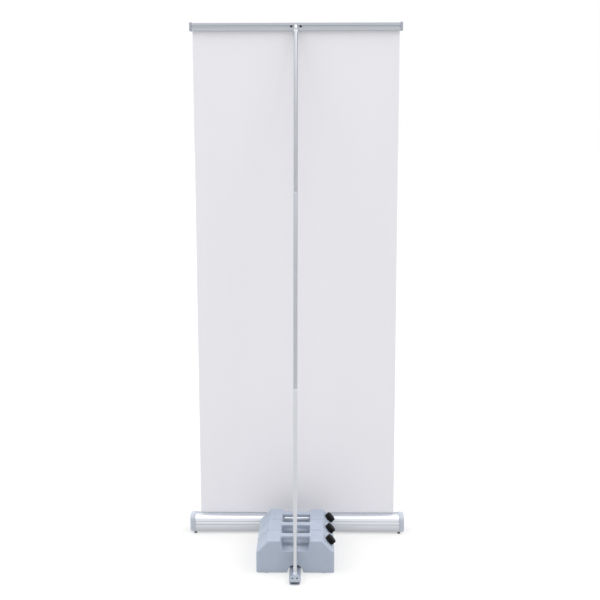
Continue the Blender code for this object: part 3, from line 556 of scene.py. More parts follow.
# A paler copy of the pole aluminium for the lowest section: painted light.
LOWER_POLE_LIT_ALUMINIUM = drawn_metal(
    "lower_pole_painted_light_aluminium", (0.56, 0.575, 0.60), 0.30, (0, 0, 1), 0.04, POLE_LEAN, Anisotropic=0.3
)
STEEL = drawn_metal("zinc_steel", (0.34, 0.35, 0.37), 0.34, (0, 0, 0), 0.06)
GREY_PLASTIC = moulded("grey_plastic", (0.27, 0.295, 0.34), 0.50)
CAP_PLASTIC = moulded("cap_plastic", (0.37, 0.40, 0.455), 0.46)
FOOT_PLASTIC = moulded("foot_plastic", (0.235, 0.265, 0.31), 0.50)
WHITE_PLASTIC = moulded("white_plastic", (0.58, 0.585, 0.61), 0.42, dust=0.04)
BLACK_PLASTIC = moulded(
    "black_plastic", (0.004, 0.004, 0.0045), 0.55, dust=0.0, wear=0.1, Specular_IOR_Level=0.1
)
RUBBER = rubber("black_rubber")
FILM = banner_film("banner_film", (0.636, 0.63, 0.661))
CORD = moulded("elastic_cord", (0.05, 0.05, 0.055), 0.8, 700.0, 0.00008)
WATER = Shader("ballast_water", (0.62, 0.74, 0.80), 0.06, 0.0, Transmission_Weight=0.8, IOR=1.333)
WATER.relief(WATER.noise(30.0, detail=3.0), 0.0002)
WATER.paint(WATER.mixed(WATER.noise(12.0), (0.60, 0.73, 0.79), (0.68, 0.78, 0.82)))
WATER.polish(WATER.between(WATER.noise(40.0), 0.3, 0.7, 0.04, 0.09))
WATER = WATER.finished()


# ---- cassette ------------------------------------------------------------------------------------------
def cassette_section():
    """The extrusion's outline: a roller chamber with a slot on top, over a channel open to the floor."""
    rear_centre = (CASSETTE_REAR + REAR_SHOULDER_RADIUS, CASSETTE_TOP - REAR_SHOULDER_RADIUS)
    front_centre = (CASSETTE_FRONT - FRONT_ROUND_RADIUS, CASSETTE_TOP - FRONT_ROUND_RADIUS)
    web_bottom = WEB_TOP - CASSETTE_WALL
    inner_rear = CASSETTE_REAR + CASSETTE_WALL
    inner_front = CASSETTE_FRONT - CASSETTE_WALL
    slot_rear, slot_front = PLANE_Y - SLOT_HALF_WIDTH, PLANE_Y + SLOT_HALF_WIDTH
    inner_top = CASSETTE_TOP - CASSETTE_WALL
    points = [(slot_rear, CASSETTE_TOP)]
    points += arc(rear_centre, REAR_SHOULDER_RADIUS, 90, 180, 22)
    depth, half_height = 0.0012, 0.0009
    for height in CASSETTE_GROOVES:
        for y_share, z_share in ((0, 1.4), (0.8, 0.9), (1, 0.4), (1, -0.4), (0.8, -0.9), (0, -1.4)):
            points.append((CASSETTE_REAR + depth * y_share, height + half_height * z_share))
    points += [
        (CASSETTE_REAR, CASSETTE_BOTTOM),
        (inner_rear, CASSETTE_BOTTOM),
        (inner_rear, web_bottom),
        (inner_front, web_bottom),
        (inner_front, CASSETTE_BOTTOM),
        (CASSETTE_FRONT, CASSETTE_BOTTOM),
    ]
    points += arc(front_centre, FRONT_ROUND_RADIUS, 0, 90, 32)
    points += [(slot_front, CASSETTE_TOP), (slot_front, inner_top)]
    points += arc(front_centre, FRONT_ROUND_RADIUS - CASSETTE_WALL, 90, 0, 20)
    points += [(inner_front, WEB_TOP), (inner_rear, WEB_TOP)]
    points += arc(rear_centre, REAR_SHOULDER_RADIUS - CASSETTE_WALL, 180, 90, 14)
    points += [(slot_rear, inner_top)]
    return points


def end_cap_outline(margin, shrink):
    rear_centre = (CASSETTE_REAR + REAR_SHOULDER_RADIUS, CASSETTE_TOP - REAR_SHOULDER_RADIUS)
    front_centre = (CASSETTE_FRONT - FRONT_ROUND_RADIUS, CASSETTE_TOP - FRONT_ROUND_RADIUS)
    bottom = CASSETTE_BOTTOM - margin
    corner = END_CAP_CORNER
    points = arc(rear_centre, REAR_SHOULDER_RADIUS + margin, 90, 180, 18)
    points += arc((CASSETTE_REAR - margin + corner, bottom + corner), corner, 180, 270, 8)
    points += arc((CASSETTE_FRONT + margin - corner, bottom + corner), corner, 270, 360, 8)
    points += arc(front_centre, FRONT_ROUND_RADIUS + margin, 0, 90, 26)
    middle = ((CASSETTE_REAR + CASSETTE_FRONT) / 2, (CASSETTE_TOP + CASSETTE_BOTTOM) / 2)
    keep = 1 - shrink
    return [(middle[0] + (y - middle[0]) * keep, middle[1] + (z - middle[1]) * keep) for y, z in points]


def cross_screw(name, place, radius, height, material):
    """A pan head with a cross recess, its top at height along place's +Z."""
    dome = [(0, -0.0022), (radius * 0.6, -0.0022), (radius, -0.0009), (radius, -0.0004)]
    dome += [(radius * math.cos(a), height * math.sin(a)) for a in (0.3, 0.7, 1.1)]
    head = make_object(name, turned(place, dome + [(0, height)], 32), material)
    arm, slit = radius * 0.56, radius * 0.13
    for size in ((arm, slit), (slit, arm)):
        cutter = block((-size[0], -size[1], height - 0.0011), (size[0], size[1], height + 0.002))
        cutter.transform(place)
        combine(head, "DIFFERENCE", cutter)
    return head


def make_cassette():
    body = make_object(
        "cassette_extrusion",
        along_x(cassette_section(), -CASSETTE_HALF_LENGTH, CASSETTE_HALF_LENGTH),
        CASSETTE_ALUMINIUM,
    )
    notch = block(
        (-FOOT_NOTCH_HALF_WIDTH, CASSETTE_REAR - 0.003, 0.0),
        (FOOT_NOTCH_HALF_WIDTH, CASSETTE_REAR + 0.002, FOOT_NOTCH_TOP),
    )
    combine(body, "DIFFERENCE", notch)
    soften(body, 0.0003, 2, 40)
    # The groove faces take the darker copy: painted shade in the grooves.
    body.data.materials.append(GROOVE_SHADE_ALUMINIUM)
    groove_low, groove_high = CASSETTE_GROOVES[1] - 0.003, CASSETTE_GROOVES[0] + 0.0023
    for face in body.data.polygons:
        sunk = CASSETTE_REAR + 0.0002 < face.center.y < CASSETTE_REAR + 0.0013
        if sunk and groove_low < face.center.z < groove_high:
            face.material_index = 1
    settle(body, "cassette", "extruded_aluminium", "cassette_body")

    for side, sign in (("rear", -1), ("front", 1)):
        low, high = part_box(f"slot_guide_{side}")
        lip = 0.0005
        corners = [(low[1], low[2], 0), (high[1], low[2], 0), (high[1], high[2], lip)]
        corners += [(low[1], high[2], lip)]
        guide = make_object(f"slot_lip_{side}", along_x(rounded(corners, 4), low[0], high[0]), FOOT_PLASTIC)
        settle(guide, "cassette", "grey_plastic", f"slot_guide_{side}")

    for side, sign in (("left", -1), ("right", 1)):
        inner = CASSETTE_HALF_LENGTH + GAP
        length = END_CAP_OUTER - inner
        rings = []
        for share, shrink in (
            (0.0, 0.004), (0.02, 0.0), (0.30, 0.003), (0.45, 0.009), (0.58, 0.018), (0.70, 0.031),
            (0.80, 0.047), (0.88, 0.066), (0.94, 0.087), (0.98, 0.110), (1.0, 0.135), (1.0, 0.17),
        ):
            x = sign * (inner + share * length)
            rings.append([(x, y, z) for y, z in end_cap_outline(END_CAP_MARGIN, shrink)])
        cap = make_object(f"end_cap_shell_{side}", loft(rings), CAP_PLASTIC, 60)
        lug_x = sorted((sign * (inner - 0.014), sign * (inner + 0.004)))
        lug = block(
            (lug_x[0], CASSETTE_REAR + CASSETTE_WALL + 0.0005, CASSETTE_BOTTOM - 0.0009),
            (lug_x[1], CASSETTE_FRONT - CASSETTE_WALL - 0.0005, WEB_TOP - CASSETTE_WALL - 0.001),
        )
        combine(cap, "UNION", lug)
        outer = inner + length
        for end, offset in END_SCREW_OFFSETS.items():
            y = PLANE_Y + offset
            place = frame_on((sign * outer, y, END_SCREW_HEIGHT), (-sign, 0, 0))
            well = [(0, -0.004), (0.0042, -0.004), (0.0042, 0.0035), (0, 0.0035)]
            combine(cap, "DIFFERENCE", turned(place, well))
            out = frame_on((sign * (outer - 0.0024), y, END_SCREW_HEIGHT), (sign, 0, 0))
            screw = cross_screw(f"end_screw_{end}_{side}", out, 0.0038, 0.0013, STEEL)
            settle(screw, "cassette", "steel_hardware", f"end_cap_screw_{end}_{side}")
        shade(cap, 40)
        settle(cap, "cassette", "grey_plastic", f"end_cap_{side}")
        for end in ("rear", "front"):
            low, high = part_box(f"rubber_foot_{end}_{side}")
            radius = (high[0] - low[0]) / 2
            place = Matrix.Translation(((low[0] + high[0]) / 2, (low[1] + high[1]) / 2, 0))
            shares = [(0, 0.0008), (0.55, 0.0008), (0.62, 0), (0.84, 0), (0.96, 0.0006), (1, 0.0018)]
            shares += [(1, 0.0040), (0.90, 0.0046), (0.90, 0.0054), (1, 0.0060), (1, high[2]), (0, high[2])]
            profile = [(radius * share, height) for share, height in shares]
            foot = make_object(f"rubber_bumper_{end}_{side}", turned(place, profile, 40), RUBBER)
            settle(foot, "cassette", "black_rubber", f"rubber_foot_{end}_{side}")


# ---- top rail ------------------------------------------------------------------------------------------
def rail_section():
    rear, front = RAIL_LOW[1], RAIL_HIGH[1]
    low, high = RAIL_GROOVE
    wall = rear + RAIL_GROOVE_DEPTH
    slit, edge = 0.0008, 0.0006
    bead_low, bead_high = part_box("banner_bead")
    pocket = (bead_high[2] - bead_low[2]) / 2 + GAP
    mouth = math.degrees(math.asin(slit / pocket))
    pocket_centre = (PLANE_Y, (bead_high[2] + bead_low[2]) / 2)
    corners = [(rear, RAIL_BOTTOM, 0.0012), (PLANE_Y - slit, RAIL_BOTTOM, edge)]
    corners += [(y, z, 0) for y, z in arc(pocket_centre, pocket, 270 - mouth, -90 + mouth, 16)]
    corners += [
        (PLANE_Y + slit, RAIL_BOTTOM, edge),
        (front, RAIL_BOTTOM, 0.0012),
        (front, RAIL_TOP, 0.0025),
        (rear, RAIL_TOP, 0.0012),
        (rear, high, 0.0008),
        (wall, high, 0.0024),
        (wall, low, 0.0024),
        (rear, low, 0.0008),
    ]
    return rounded(corners, 7)


def rail_chamber():
    """The closed chamber in the rail, in front of the groove and above the bead."""
    rear = RAIL_LOW[1] + RAIL_GROOVE_DEPTH + RAIL_WALL
    front = RAIL_HIGH[1] - RAIL_WALL
    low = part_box("banner_bead")[1][2] + GAP + RAIL_WALL
    high = RAIL_TOP - RAIL_WALL
    corners = [(rear, low, 0.0005), (front, low, 0.0005), (front, high, 0.0015), (rear, high, 0.0005)]
    return rounded(corners, 4)


def make_top_rail():
    half = RAIL_HIGH[0]
    rail = make_object("top_rail_extrusion", along_x(rail_section(), -half, half), RAIL_ALUMINIUM, 40)
    combine(rail, "DIFFERENCE", along_x(rail_chamber(), -half - 0.01, half + 0.01))
    shade(rail, 40)
    settle(rail, "rail", "extruded_aluminium", "top_rail")
    for side, sign in (("left", -1), ("right", 1)):
        low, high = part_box(f"rail_cap_{side}")
        inner, outer = (high[0], low[0]) if sign < 0 else (low[0], high[0])
        rings = []
        insets = ((0, 0.0004), (0.05, 0), (0.62, 0), (0.80, 0.0004), (0.92, 0.0012), (1.0, 0.0026))
        for share, inset in insets:
            x = inner + (outer - inner) * share
            corners = [
                (low[1] + inset, low[2] + inset, 0.003),
                (high[1] - inset, low[2] + inset, 0.003),
                (high[1] - inset, high[2] - inset, 0.004),
                (low[1] + inset, high[2] - inset, 0.004),
            ]
            rings.append([(x, y, z) for y, z in rounded(corners, 6)])
        cap = make_object(f"rail_end_cap_{side}", loft(rings), GREY_PLASTIC, 50)
        settle(cap, "rail", "grey_plastic", f"rail_cap_{side}")

        low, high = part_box(f"channel_stop_{side}")
        place = frame_on(((low[0] + high[0]) / 2, low[1], (low[2] + high[2]) / 2), (0, 1, 0))
        face = (high[0] - low[0]) / 2
        depth = high[1] - low[1]
        shank = 0.0032
        profile = [(0, 0.0010), (0.0013, 0.0010), (0.0016, 0.0002), (face * 0.72, 0.0)]
        profile += [(face * 0.93, 0.0003), (face, 0.0010), (face, 0.0019)]
        profile += [(shank, 0.0019), (shank, depth), (0, depth)]
        stop = make_object(f"groove_stop_{side}", turned(place, profile, 40), BLACK_PLASTIC)
        settle(stop, "rail", "black_plastic", f"channel_stop_{side}")


# ---- banner --------------------------------------------------------------------------------------------
def smooth_step(value, low, high):
    share = min(1.0, max(0.0, (value - low) / (high - low)))
    return share * share * (3 - 2 * share)


def banner_relief(x, z):
    """How far the stretched film stands out of its plane: slack waves, curled edges and two soft folds."""
    height = (z - SHEET_LOW[2]) / (SHEET_HIGH[2] - SHEET_LOW[2])
    free = math.sin(math.pi * min(1.0, max(0.0, height))) ** 0.5
    waves = 0.0006 * math.sin(11 * x + 0.6 * math.sin(3 * height + x)) * math.sin(math.pi * height)
    waves += 0.00035 * math.sin(26 * x + 1.3 + 1.8 * height)
    edge = BANNER_HALF_WIDTH - abs(x)
    curl = 0.0016 * math.exp(-((edge / 0.012) ** 2))
    curl += 0.0004 * math.cos(edge / 0.006) * math.exp(-edge / 0.015)
    drop = SHEET_HIGH[2] - z
    fold = 0.0
    fold_end = 0.75
    if drop < fold_end:
        fade = smooth_step(drop, 0.0, 0.06) * (1 - smooth_step(drop, 0.35, fold_end))
        for sign in (-1, 1):
            spread = sign * (0.016 + 0.17 * drop)
            fold -= 0.0013 * fade * math.exp(-(((x - spread) / (0.010 + 0.03 * drop)) ** 2))
    near_slot = smooth_step(z, 0.085, 0.16)
    return (waves * free + curl * free + fold) * near_slot


def make_banner():
    columns, rows = 210, 260
    thickness = 0.0004
    builder = bmesh.new()
    sides = []
    for offset in (-thickness / 2, thickness / 2):
        grid = []
        for row in range(rows + 1):
            z = SHEET_LOW[2] + (SHEET_HIGH[2] - SHEET_LOW[2]) * row / rows
            line = []
            for column in range(columns + 1):
                even = 2 * column / columns - 1
                crowded = math.sin(math.pi * (column / columns - 0.5) * 0.98) / math.sin(math.pi * 0.49)
                x = BANNER_HALF_WIDTH * (0.5 * crowded + 0.5 * even)
                line.append(builder.verts.new((x, PLANE_Y - banner_relief(x, z) + offset, z)))
            grid.append(line)
        sides.append(grid)
    for grid in sides:
        for row in range(rows):
            for column in range(columns):
                lower, upper = grid[row], grid[row + 1]
                builder.faces.new((lower[column], lower[column + 1], upper[column + 1], upper[column]))
    rear, front = sides
    rim = [(0, column) for column in range(columns)]
    rim += [(row, columns) for row in range(rows)]
    rim += [(rows, columns - column) for column in range(columns)]
    rim += [(rows - row, 0) for row in range(rows)]
    for (row_a, column_a), (row_b, column_b) in zip(rim, rim[1:] + rim[:1]):
        builder.faces.new(
            (rear[row_a][column_a], rear[row_b][column_b], front[row_b][column_b], front[row_a][column_a])
        )
    banner = make_object("banner_film_sheet", builder, FILM, 60)
    settle(banner, "cassette", "banner_film", "banner_sheet")
    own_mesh(banner)


# ---- pole ----------------------------------------------------------------------------------------------
def pole_place():
    return frame_on(POLE_BASE, POLE_TOP - POLE_BASE)


def tube_profile(start, stop, outer, inner, edge):
    """A tube with long chamfers at its ends, so that a joint between two tubes shows as a groove."""
    return [
        (outer - edge, start), (outer - edge / 3, start + edge), (outer, start + 3 * edge),
        (outer, stop - 3 * edge), (outer - edge / 3, stop - edge), (outer - edge, stop),
        (inner + edge / 2, stop), (inner, stop - edge), (inner, start + edge), (inner + edge / 2, start),
    ]


def make_pole():
    place = pole_place()
    inner = POLE_RADIUS - POLE_WALL
    flange = 0.0006
    ends = (-POLE_SOCKET_DEPTH, *POLE_JOINTS, POLE_LENGTH)
    for name, low, high in zip(("pole_lower", "pole_middle", "pole_upper"), ends, ends[1:]):
        start = low if low < 0 else low + flange + GAP
        stop = high if high == POLE_LENGTH else high - flange - GAP
        # The lowest section takes the paler copy: painted light.
        tube = make_object(
            name.replace("pole", "pole_tube"),
            turned(place, tube_profile(start, stop, POLE_RADIUS, inner, 0.0007), 48),
            LOWER_POLE_LIT_ALUMINIUM if name == "pole_lower" else POLE_ALUMINIUM,
        )
        settle(tube, "foot", "pole_aluminium", name)


def make_pole_head():
    """The white head: its CAD form, rounded, with a riveted pin."""
    source = NODES["pole_head"].data.copy()
    builder = bmesh.new()
    builder.from_mesh(source)
    bpy.data.meshes.remove(source)
    bmesh.ops.remove_doubles(builder, verts=builder.verts, dist=0.00002)
    bmesh.ops.dissolve_limit(builder, angle_limit=math.radians(2), verts=builder.verts, edges=builder.edges)
    head = make_object("pole_head_hook", builder, WHITE_PLASTIC)
    soften(head, 0.0007, 3, 40)
    above_groove = RAIL_GROOVE[1] + 0.0006
    for vertex in head.data.vertices:
        vertex.co.x *= 1 - 0.32 * smooth_step(vertex.co.z, POLE_TOP.z + 0.010, RAIL_TOP)
        if vertex.co.z > above_groove:
            vertex.co.z = above_groove + 0.4 * (vertex.co.z - above_groove)
    settle(head, "foot", "white_plastic", "pole_head")


# ---- foot ----------------------------------------------------------------------------------------------
def foot_outline(half_width, bottom, top, corner, steps=8):
    corners = [(-half_width, bottom, 0.0008), (half_width, bottom, 0.0008)]
    corners += [(half_width, top, corner), (-half_width, top, corner)]
    return rounded(corners, steps)


def make_foot():
    beam = make_object(
        "foot_extrusion",
        along_y(
            foot_outline(FOOT_HALF_WIDTH, FOOT_BOTTOM, FOOT_TOP, FOOT_CORNER),
            BEAM_LOW[1],
            BEAM_HIGH[1],
        ),
        FOOT_ALUMINIUM,
        50,
    )
    hollow = foot_outline(
        FOOT_HALF_WIDTH - FOOT_WALL, FOOT_BOTTOM + FOOT_WALL, FOOT_TOP - FOOT_WALL, FOOT_CORNER - FOOT_WALL
    )
    combine(beam, "DIFFERENCE", along_y(hollow, BEAM_LOW[1] - 0.01, BEAM_HIGH[1] + 0.01))
    grooves = []
    for sign in (-1, 1):
        for z in FOOT_GROOVE_HEIGHTS:
            side = sign * FOOT_HALF_WIDTH
            outside = side + sign * 0.001
            outline = [(outside, z - 0.0010), (outside, z + 0.0010), (side - sign * 0.0005, z)]
            grooves.append(along_y(outline, BEAM_LOW[1] - 0.01, BEAM_HIGH[1] + 0.01))
    combine(beam, "DIFFERENCE", *grooves)
    hole = [(0, -0.010), (POLE_RADIUS + 0.0006, -0.010), (POLE_RADIUS + 0.0006, 0.020), (0, 0.020)]
    combine(beam, "DIFFERENCE", turned(pole_place(), hole, 48))
    shade(beam, 40)
    settle(beam, "foot", "extruded_aluminium", "foot_beam")
    make_foot_end()


def make_foot_end():
    start = BEAM_LOW[1] - GAP
    bottom = PAD_HIGH[2] + GAP
    stations = (
        (0.00, FOOT_HALF_WIDTH, FOOT_TOP, FOOT_CORNER),
        (0.12, FOOT_HALF_WIDTH, FOOT_TOP - 0.0001, FOOT_CORNER),
        (0.25, FOOT_HALF_WIDTH, 0.0256, FOOT_CORNER),
        (0.45, 0.0229, 0.0237, 0.0075),
        (0.62, 0.0225, 0.0218, 0.0065),
        (0.76, 0.0218, 0.0200, 0.0055),
        (0.84, 0.0208, 0.0186, 0.0050),
        (0.90, 0.0197, 0.0175, 0.0042),
        (0.94, 0.0184, 0.0166, 0.0034),
        (0.97, 0.0169, 0.0156, 0.0026),
        (0.99, 0.0152, 0.0145, 0.0018),
        (1.00, 0.0138, 0.0136, 0.0012),
    )
    rings = []
    for share, half_width, top, corner in stations:
        y = start + (FOOT_TIP - start) * share
        low = bottom + 0.0018 * smooth_step(share, 0.7, 1.0)
        rings.append([(x, y, z) for x, z in foot_outline(half_width, low, top, corner)])
    cap = make_object("foot_nose", loft(rings), FOOT_PLASTIC, 50)
    slope_normal = Vector((0, -0.28, 1)).normalized()
    for side, x in (("left", -0.0095), ("right", 0.0095)):
        place = frame_on((x, BEAM_LOW[1] - 0.0165, 0.0226), slope_normal)
        well = [(0, -0.0075), (0.0040, -0.0075), (0.0040, -0.0004), (0.0046, 0.008), (0, 0.008)]
        combine(cap, "DIFFERENCE", turned(place, well, 40))
        sunk = frame_on(place @ Vector((0, 0, -0.0026)), slope_normal)
        screw = cross_screw(f"nose_screw_{side}", sunk, 0.0036, 0.0012, BLACK_PLASTIC)
        settle(screw, "foot", "black_plastic", f"foot_end_screw_{side}")
    shade(cap, 40)
    settle(cap, "foot", "grey_plastic", "foot_end_cap")

    middle = ((PAD_LOW[0] + PAD_HIGH[0]) / 2, (PAD_LOW[1] + PAD_HIGH[1]) / 2)
    half_width, half_depth = (PAD_HIGH[0] - PAD_LOW[0]) / 2, (PAD_HIGH[1] - PAD_LOW[1]) / 2
    corner = 0.0135
    outline = rounded(
        [
            (-half_width, -half_depth, corner), (half_width, -half_depth, corner),
            (half_width, half_depth, 0.0008), (-half_width, half_depth, 0.0008),
        ],
        8,
    )

    def layers(*levels):
        """The pad's outline at each height, scaled by the share given with it."""
        return loft([[(middle[0] + u * k, middle[1] + v * k, z) for u, v in outline] for z, k in levels])

    hard = ((0.0, 0.975), (0.0006, 0.995), (0.0014, 1.0), (0.0036, 1.0), (0.0046, 0.99), (0.0052, 0.965))
    pad = make_object("foot_sole", layers(*hard), FOOT_PLASTIC, 50)
    settle(pad, "foot", "grey_plastic", "foot_pad")
    soft = layers((0.0050, 0.86), (0.0056, 0.86), (PAD_HIGH[2] - 0.0004, 0.86), (PAD_HIGH[2], 0.85))
    cushion = make_object("foot_sole_cushion", soft, RUBBER, 50)
    settle(cushion, "foot", "black_rubber")


# ---- ballast tanks -------------------------------------------------------------------------------------
def tank_outline(side_inset):
    """The tank's (x, z) outline; side_inset draws in only its sides and slopes."""
    run, rise = TANK_HALF_WIDTH - TANK_TOP_HALF_WIDTH, TANK_TOP - TANK_SHOULDER
    right = [
        (TANK_HALF_WIDTH - side_inset, TANK_BOTTOM),
        (TANK_HALF_WIDTH - side_inset, TANK_SHOULDER - side_inset * 0.45),
        (TANK_TOP_HALF_WIDTH - side_inset * math.hypot(run, rise) / rise, TANK_TOP),
        (SADDLE_TOP_HALF_WIDTH, TANK_TOP),
        (SADDLE_FLOOR_HALF_WIDTH, SADDLE_FLOOR),
    ]
    left = [(-x, z) for x, z in reversed(right)]
    return right + left + arc((0.0, TANK_BOTTOM), ARCH_RADIUS, 180, 0, 24)


def tank_solid():
    """One tank's outer skin, with its rear face at y = 0."""
    corner = 0.005
    rings = []
    for step in range(5):
        angle = math.radians(90 * step / 4)
        rings.append((corner * (1 - math.sin(angle)), corner * (1 - math.cos(angle))))
    stations = [(y, inset) for inset, y in rings]
    stations += [(TANK_DEPTH - y, inset) for inset, y in reversed(rings)]
    builder = loft([[(x, y, z) for x, z in tank_outline(inset)] for y, inset in stations])
    skin = make_object("tank_skin_source", builder)
    handle = block(
        (-SADDLE_TOP_HALF_WIDTH - 0.003, HANDLE_FROM, TANK_TOP - HANDLE_THICKNESS),
        (SADDLE_TOP_HALF_WIDTH + 0.003, HANDLE_TO, TANK_TOP - 0.0003),
    )
    combine(skin, "UNION", handle)
    remesh = skin.modifiers.new("even_mesh", "REMESH")
    remesh.mode = "VOXEL"
    remesh.voxel_size = 0.0017
    remesh.adaptivity = 0.0
    smooth = skin.modifiers.new("soft_edges", "SMOOTH")
    smooth.factor = 0.5
    smooth.iterations = 9
    apply_modifiers(skin)
    return skin


def face_relief(x, z):
    """How far a tank's front or rear face lies back at (x, z): bevelled sides round a shallow panel."""
    run, rise = TANK_HALF_WIDTH - TANK_TOP_HALF_WIDTH, TANK_TOP - TANK_SHOULDER
    length = math.hypot(run, rise)
    from_side = TANK_HALF_WIDTH - abs(x)
    from_slope = ((TANK_HALF_WIDTH - abs(x)) * rise + (TANK_SHOULDER - z) * run) / length
    share = min(from_side / 0.0165, from_slope / 0.0085)
    bevel = 0.0030 * max(0.0, 1 - share)
    panel = 0.0009 * smooth_step(share, 1.02, 1.22)
    return bevel + panel


def tank_mesh():
    skin = tank_solid()
    for vertex in skin.data.vertices:
        x, y, z = vertex.co
        back = face_relief(x, z)
        if y < 0.012:
            vertex.co.y += back * (1 - smooth_step(y, 0.004, 0.012))
        elif y > TANK_DEPTH - 0.012:
            vertex.co.y -= back * (1 - smooth_step(TANK_DEPTH - y, 0.004, 0.012))
        dip = smooth_step(abs(x), 0.064, 0.070) * (1 - smooth_step(abs(x), 0.100, 0.106))
        across = smooth_step(y, 0.010, 0.016) * (1 - smooth_step(y, TANK_DEPTH - 0.016, TANK_DEPTH - 0.010))
        if z > TANK_TOP - 0.003:
            vertex.co.z -= 0.0007 * dip * across
    mesh = skin.data
    bpy.data.objects.remove(skin)
    return mesh


def neck_thread(place):
    """A raised helical thread on the neck."""
    turns, steps = 2.2, 44
    rings = []
    total = int(turns * steps)
    for step in range(total + 1):
        angle = math.tau * step / steps
        height = 0.0030 + 0.0040 * turns * step / total * 0.9
        fade = min(1.0, step / 6, (total - step) / 6)
        outward = Vector((math.cos(angle), math.sin(angle), 0))
        base = NECK_RADIUS - 0.0012
        crest = base + 0.0010 * fade + 0.0001
        section = ((base - 0.0003, -0.0010), (crest, -0.0003), (crest, 0.0003), (base - 0.0003, 0.0010))
        ring = [outward * radius + Vector((0, 0, height + lift)) for radius, lift in section]
        rings.append([place @ point for point in ring])
    return loft(rings)


def ribbed(radius, height, angle):
    """Grip ribs round the screw cap's skirt."""
    if radius < SCREW_CAP_RADIUS - 0.0002 or not 0.0042 < height < SCREW_CAP_END - 0.0022:
        return radius
    return radius - 0.00075 * (0.5 - 0.5 * math.cos(36 * angle)) ** 1.5


def screw_cap(place):
    inside = NECK_RADIUS + 0.0005
    gasket_top = NECK_HEIGHT + GAP + 0.0020
    low, high = SCREW_CAP_START, SCREW_CAP_END
    outer = SCREW_CAP_RADIUS
    profile = [(0, gasket_top + GAP), (inside, gasket_top + GAP)]
    profile += [(inside, low + 0.0004), (inside + 0.0004, low)]
    profile += [(outer - 0.0004, low), (outer, low + 0.0004), (outer, low + 0.0016), (outer, low + 0.0020)]
    profile += [(outer, low + 0.0023), (outer, low + 0.007), (outer, low + 0.012), (outer, high - 0.0024)]
    profile += [(outer, high - 0.0018), (outer - 0.0001, high - 0.0010), (outer - 0.0004, high - 0.0004)]
    profile += [(outer - 0.0010, high), (outer - 0.0022, high), (outer - 0.0040, high)]
    profile += [(outer - 0.0046, high - 0.0007), (0.0040, high - 0.0007)]
    profile += [(0.0034, high - 0.0003), (0, high - 0.0003)]
    return turned(place, profile, 36 * 6, ribbed)


def make_tanks():
    source = tank_mesh()
    normal = Vector((TANK_TOP - TANK_SHOULDER, 0, TANK_HALF_WIDTH - TANK_TOP_HALF_WIDTH)).normalized()
    for number in (1, 2, 3):
        name = f"tank_{number}"
        rear_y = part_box(f"{name}_shell")[0][1]
        middle_y = rear_y + TANK_DEPTH / 2
        plastic = tank_plastic(f"{name}_plastic", middle_y, (number * 1.7, number * 0.9, number * 2.3))
        mesh = source.copy()
        mesh.transform(Matrix.Translation((0, rear_y, 0)))
        mesh.materials.clear()
        mesh.materials.append(plastic)
        mesh.shade_smooth()
        skin = bpy.data.objects.new(f"{name}_skin", mesh)
        bpy.context.collection.objects.link(skin)
        settle(skin, name, "tank_plastic", f"{name}_shell")

        feet = []
        for x in (-TANK_FOOT_X, TANK_FOOT_X):
            for y in (rear_y + TANK_FOOT_INSET, rear_y + TANK_DEPTH - TANK_FOOT_INSET):
                profile = [(0, 0.0), (0.0045, 0.0), (0.0062, 0.0006), (0.0071, 0.0018)]
                profile += [(0.0080, 0.0034), (0, 0.0045)]
                feet.append(turned(Matrix.Translation((x, y, 0)), profile, 32))
        nubs = make_object(f"{name}_feet", joined(*feet), plastic, 60)
        settle(nubs, name, "tank_plastic")

        place = frame_on(
            ((TANK_HALF_WIDTH + TANK_TOP_HALF_WIDTH) / 2, middle_y, (TANK_TOP + TANK_SHOULDER) / 2), normal
        )
        core = NECK_RADIUS - 0.0012
        profile = [(NECK_BORE_RADIUS, -0.0040), (0.0195, -0.0040), (0.0195, 0.0004), (0.0186, 0.0010)]
        profile += [(core + 0.0006, 0.0014), (core, 0.0022), (core, NECK_HEIGHT - 0.0004)]
        profile += [(core - 0.0004, NECK_HEIGHT), (NECK_BORE_RADIUS + 0.0003, NECK_HEIGHT)]
        profile += [(NECK_BORE_RADIUS, NECK_HEIGHT - 0.0004)]
        threaded = joined(turned(place, profile, 72), neck_thread(place))
        neck = make_object(f"{name}_neck", threaded, plastic, 40)
        settle(neck, name, "tank_plastic")

        cap = make_object(f"{name}_lid", screw_cap(place), BLACK_PLASTIC, 40)
        settle(cap, f"{name}_screw_cap", "black_plastic", f"{name}_cap")
    bpy.data.meshes.remove(source)


# ---- the CAD nodes that stay ---------------------------------------------------------------------------
def dress_cad_nodes():
    steel = ["roller_axle_left", "spring_shaft", "recoil_spring", "foot_receiver", "receiver_screw_rear"]
    steel += ["receiver_screw_front", "pole_spigot_lower", "pole_spigot_upper", "pole_head_rivet"]
    for node in steel:
        dress(node, STEEL)
    for node in ("roller_plug_left", "roller_plug_right", "spring_end_plug", "pole_base_plug"):
        dress(node, BLACK_PLASTIC)
    dress("roller_tube", ALUMINIUM)
    dress("banner_roll", FILM)
    dress("banner_bead", WHITE_PLASTIC)
    dress("pole_socket", GREY_PLASTIC)
    dress("pole_shock_cord", CORD)
    for number in (1, 2, 3):
        dress(f"tank_{number}_water", WATER)
        dress(f"tank_{number}_gasket", RUBBER)


# ---- stage, light and camera ---------------------------------------------------------------------------
FLOOR_COLOUR = (0.25, 0.25, 0.25)
FLOOR_GLOW = 0.57
ROOM_LIGHT = 1.0
CEILING_LIGHT = 0.25
SIDE_LIGHT = 5.0
CEILING_RISE = (0.15, 0.6)     # the sine of the elevation where each begins and is full
PANEL_RISE = (0.4, 0.8)
PANEL_SIDES = (0.35, 0.75)     # how far to the side a panel begins and is full, of a unit vector
OVERHEAD_WATTS = 9


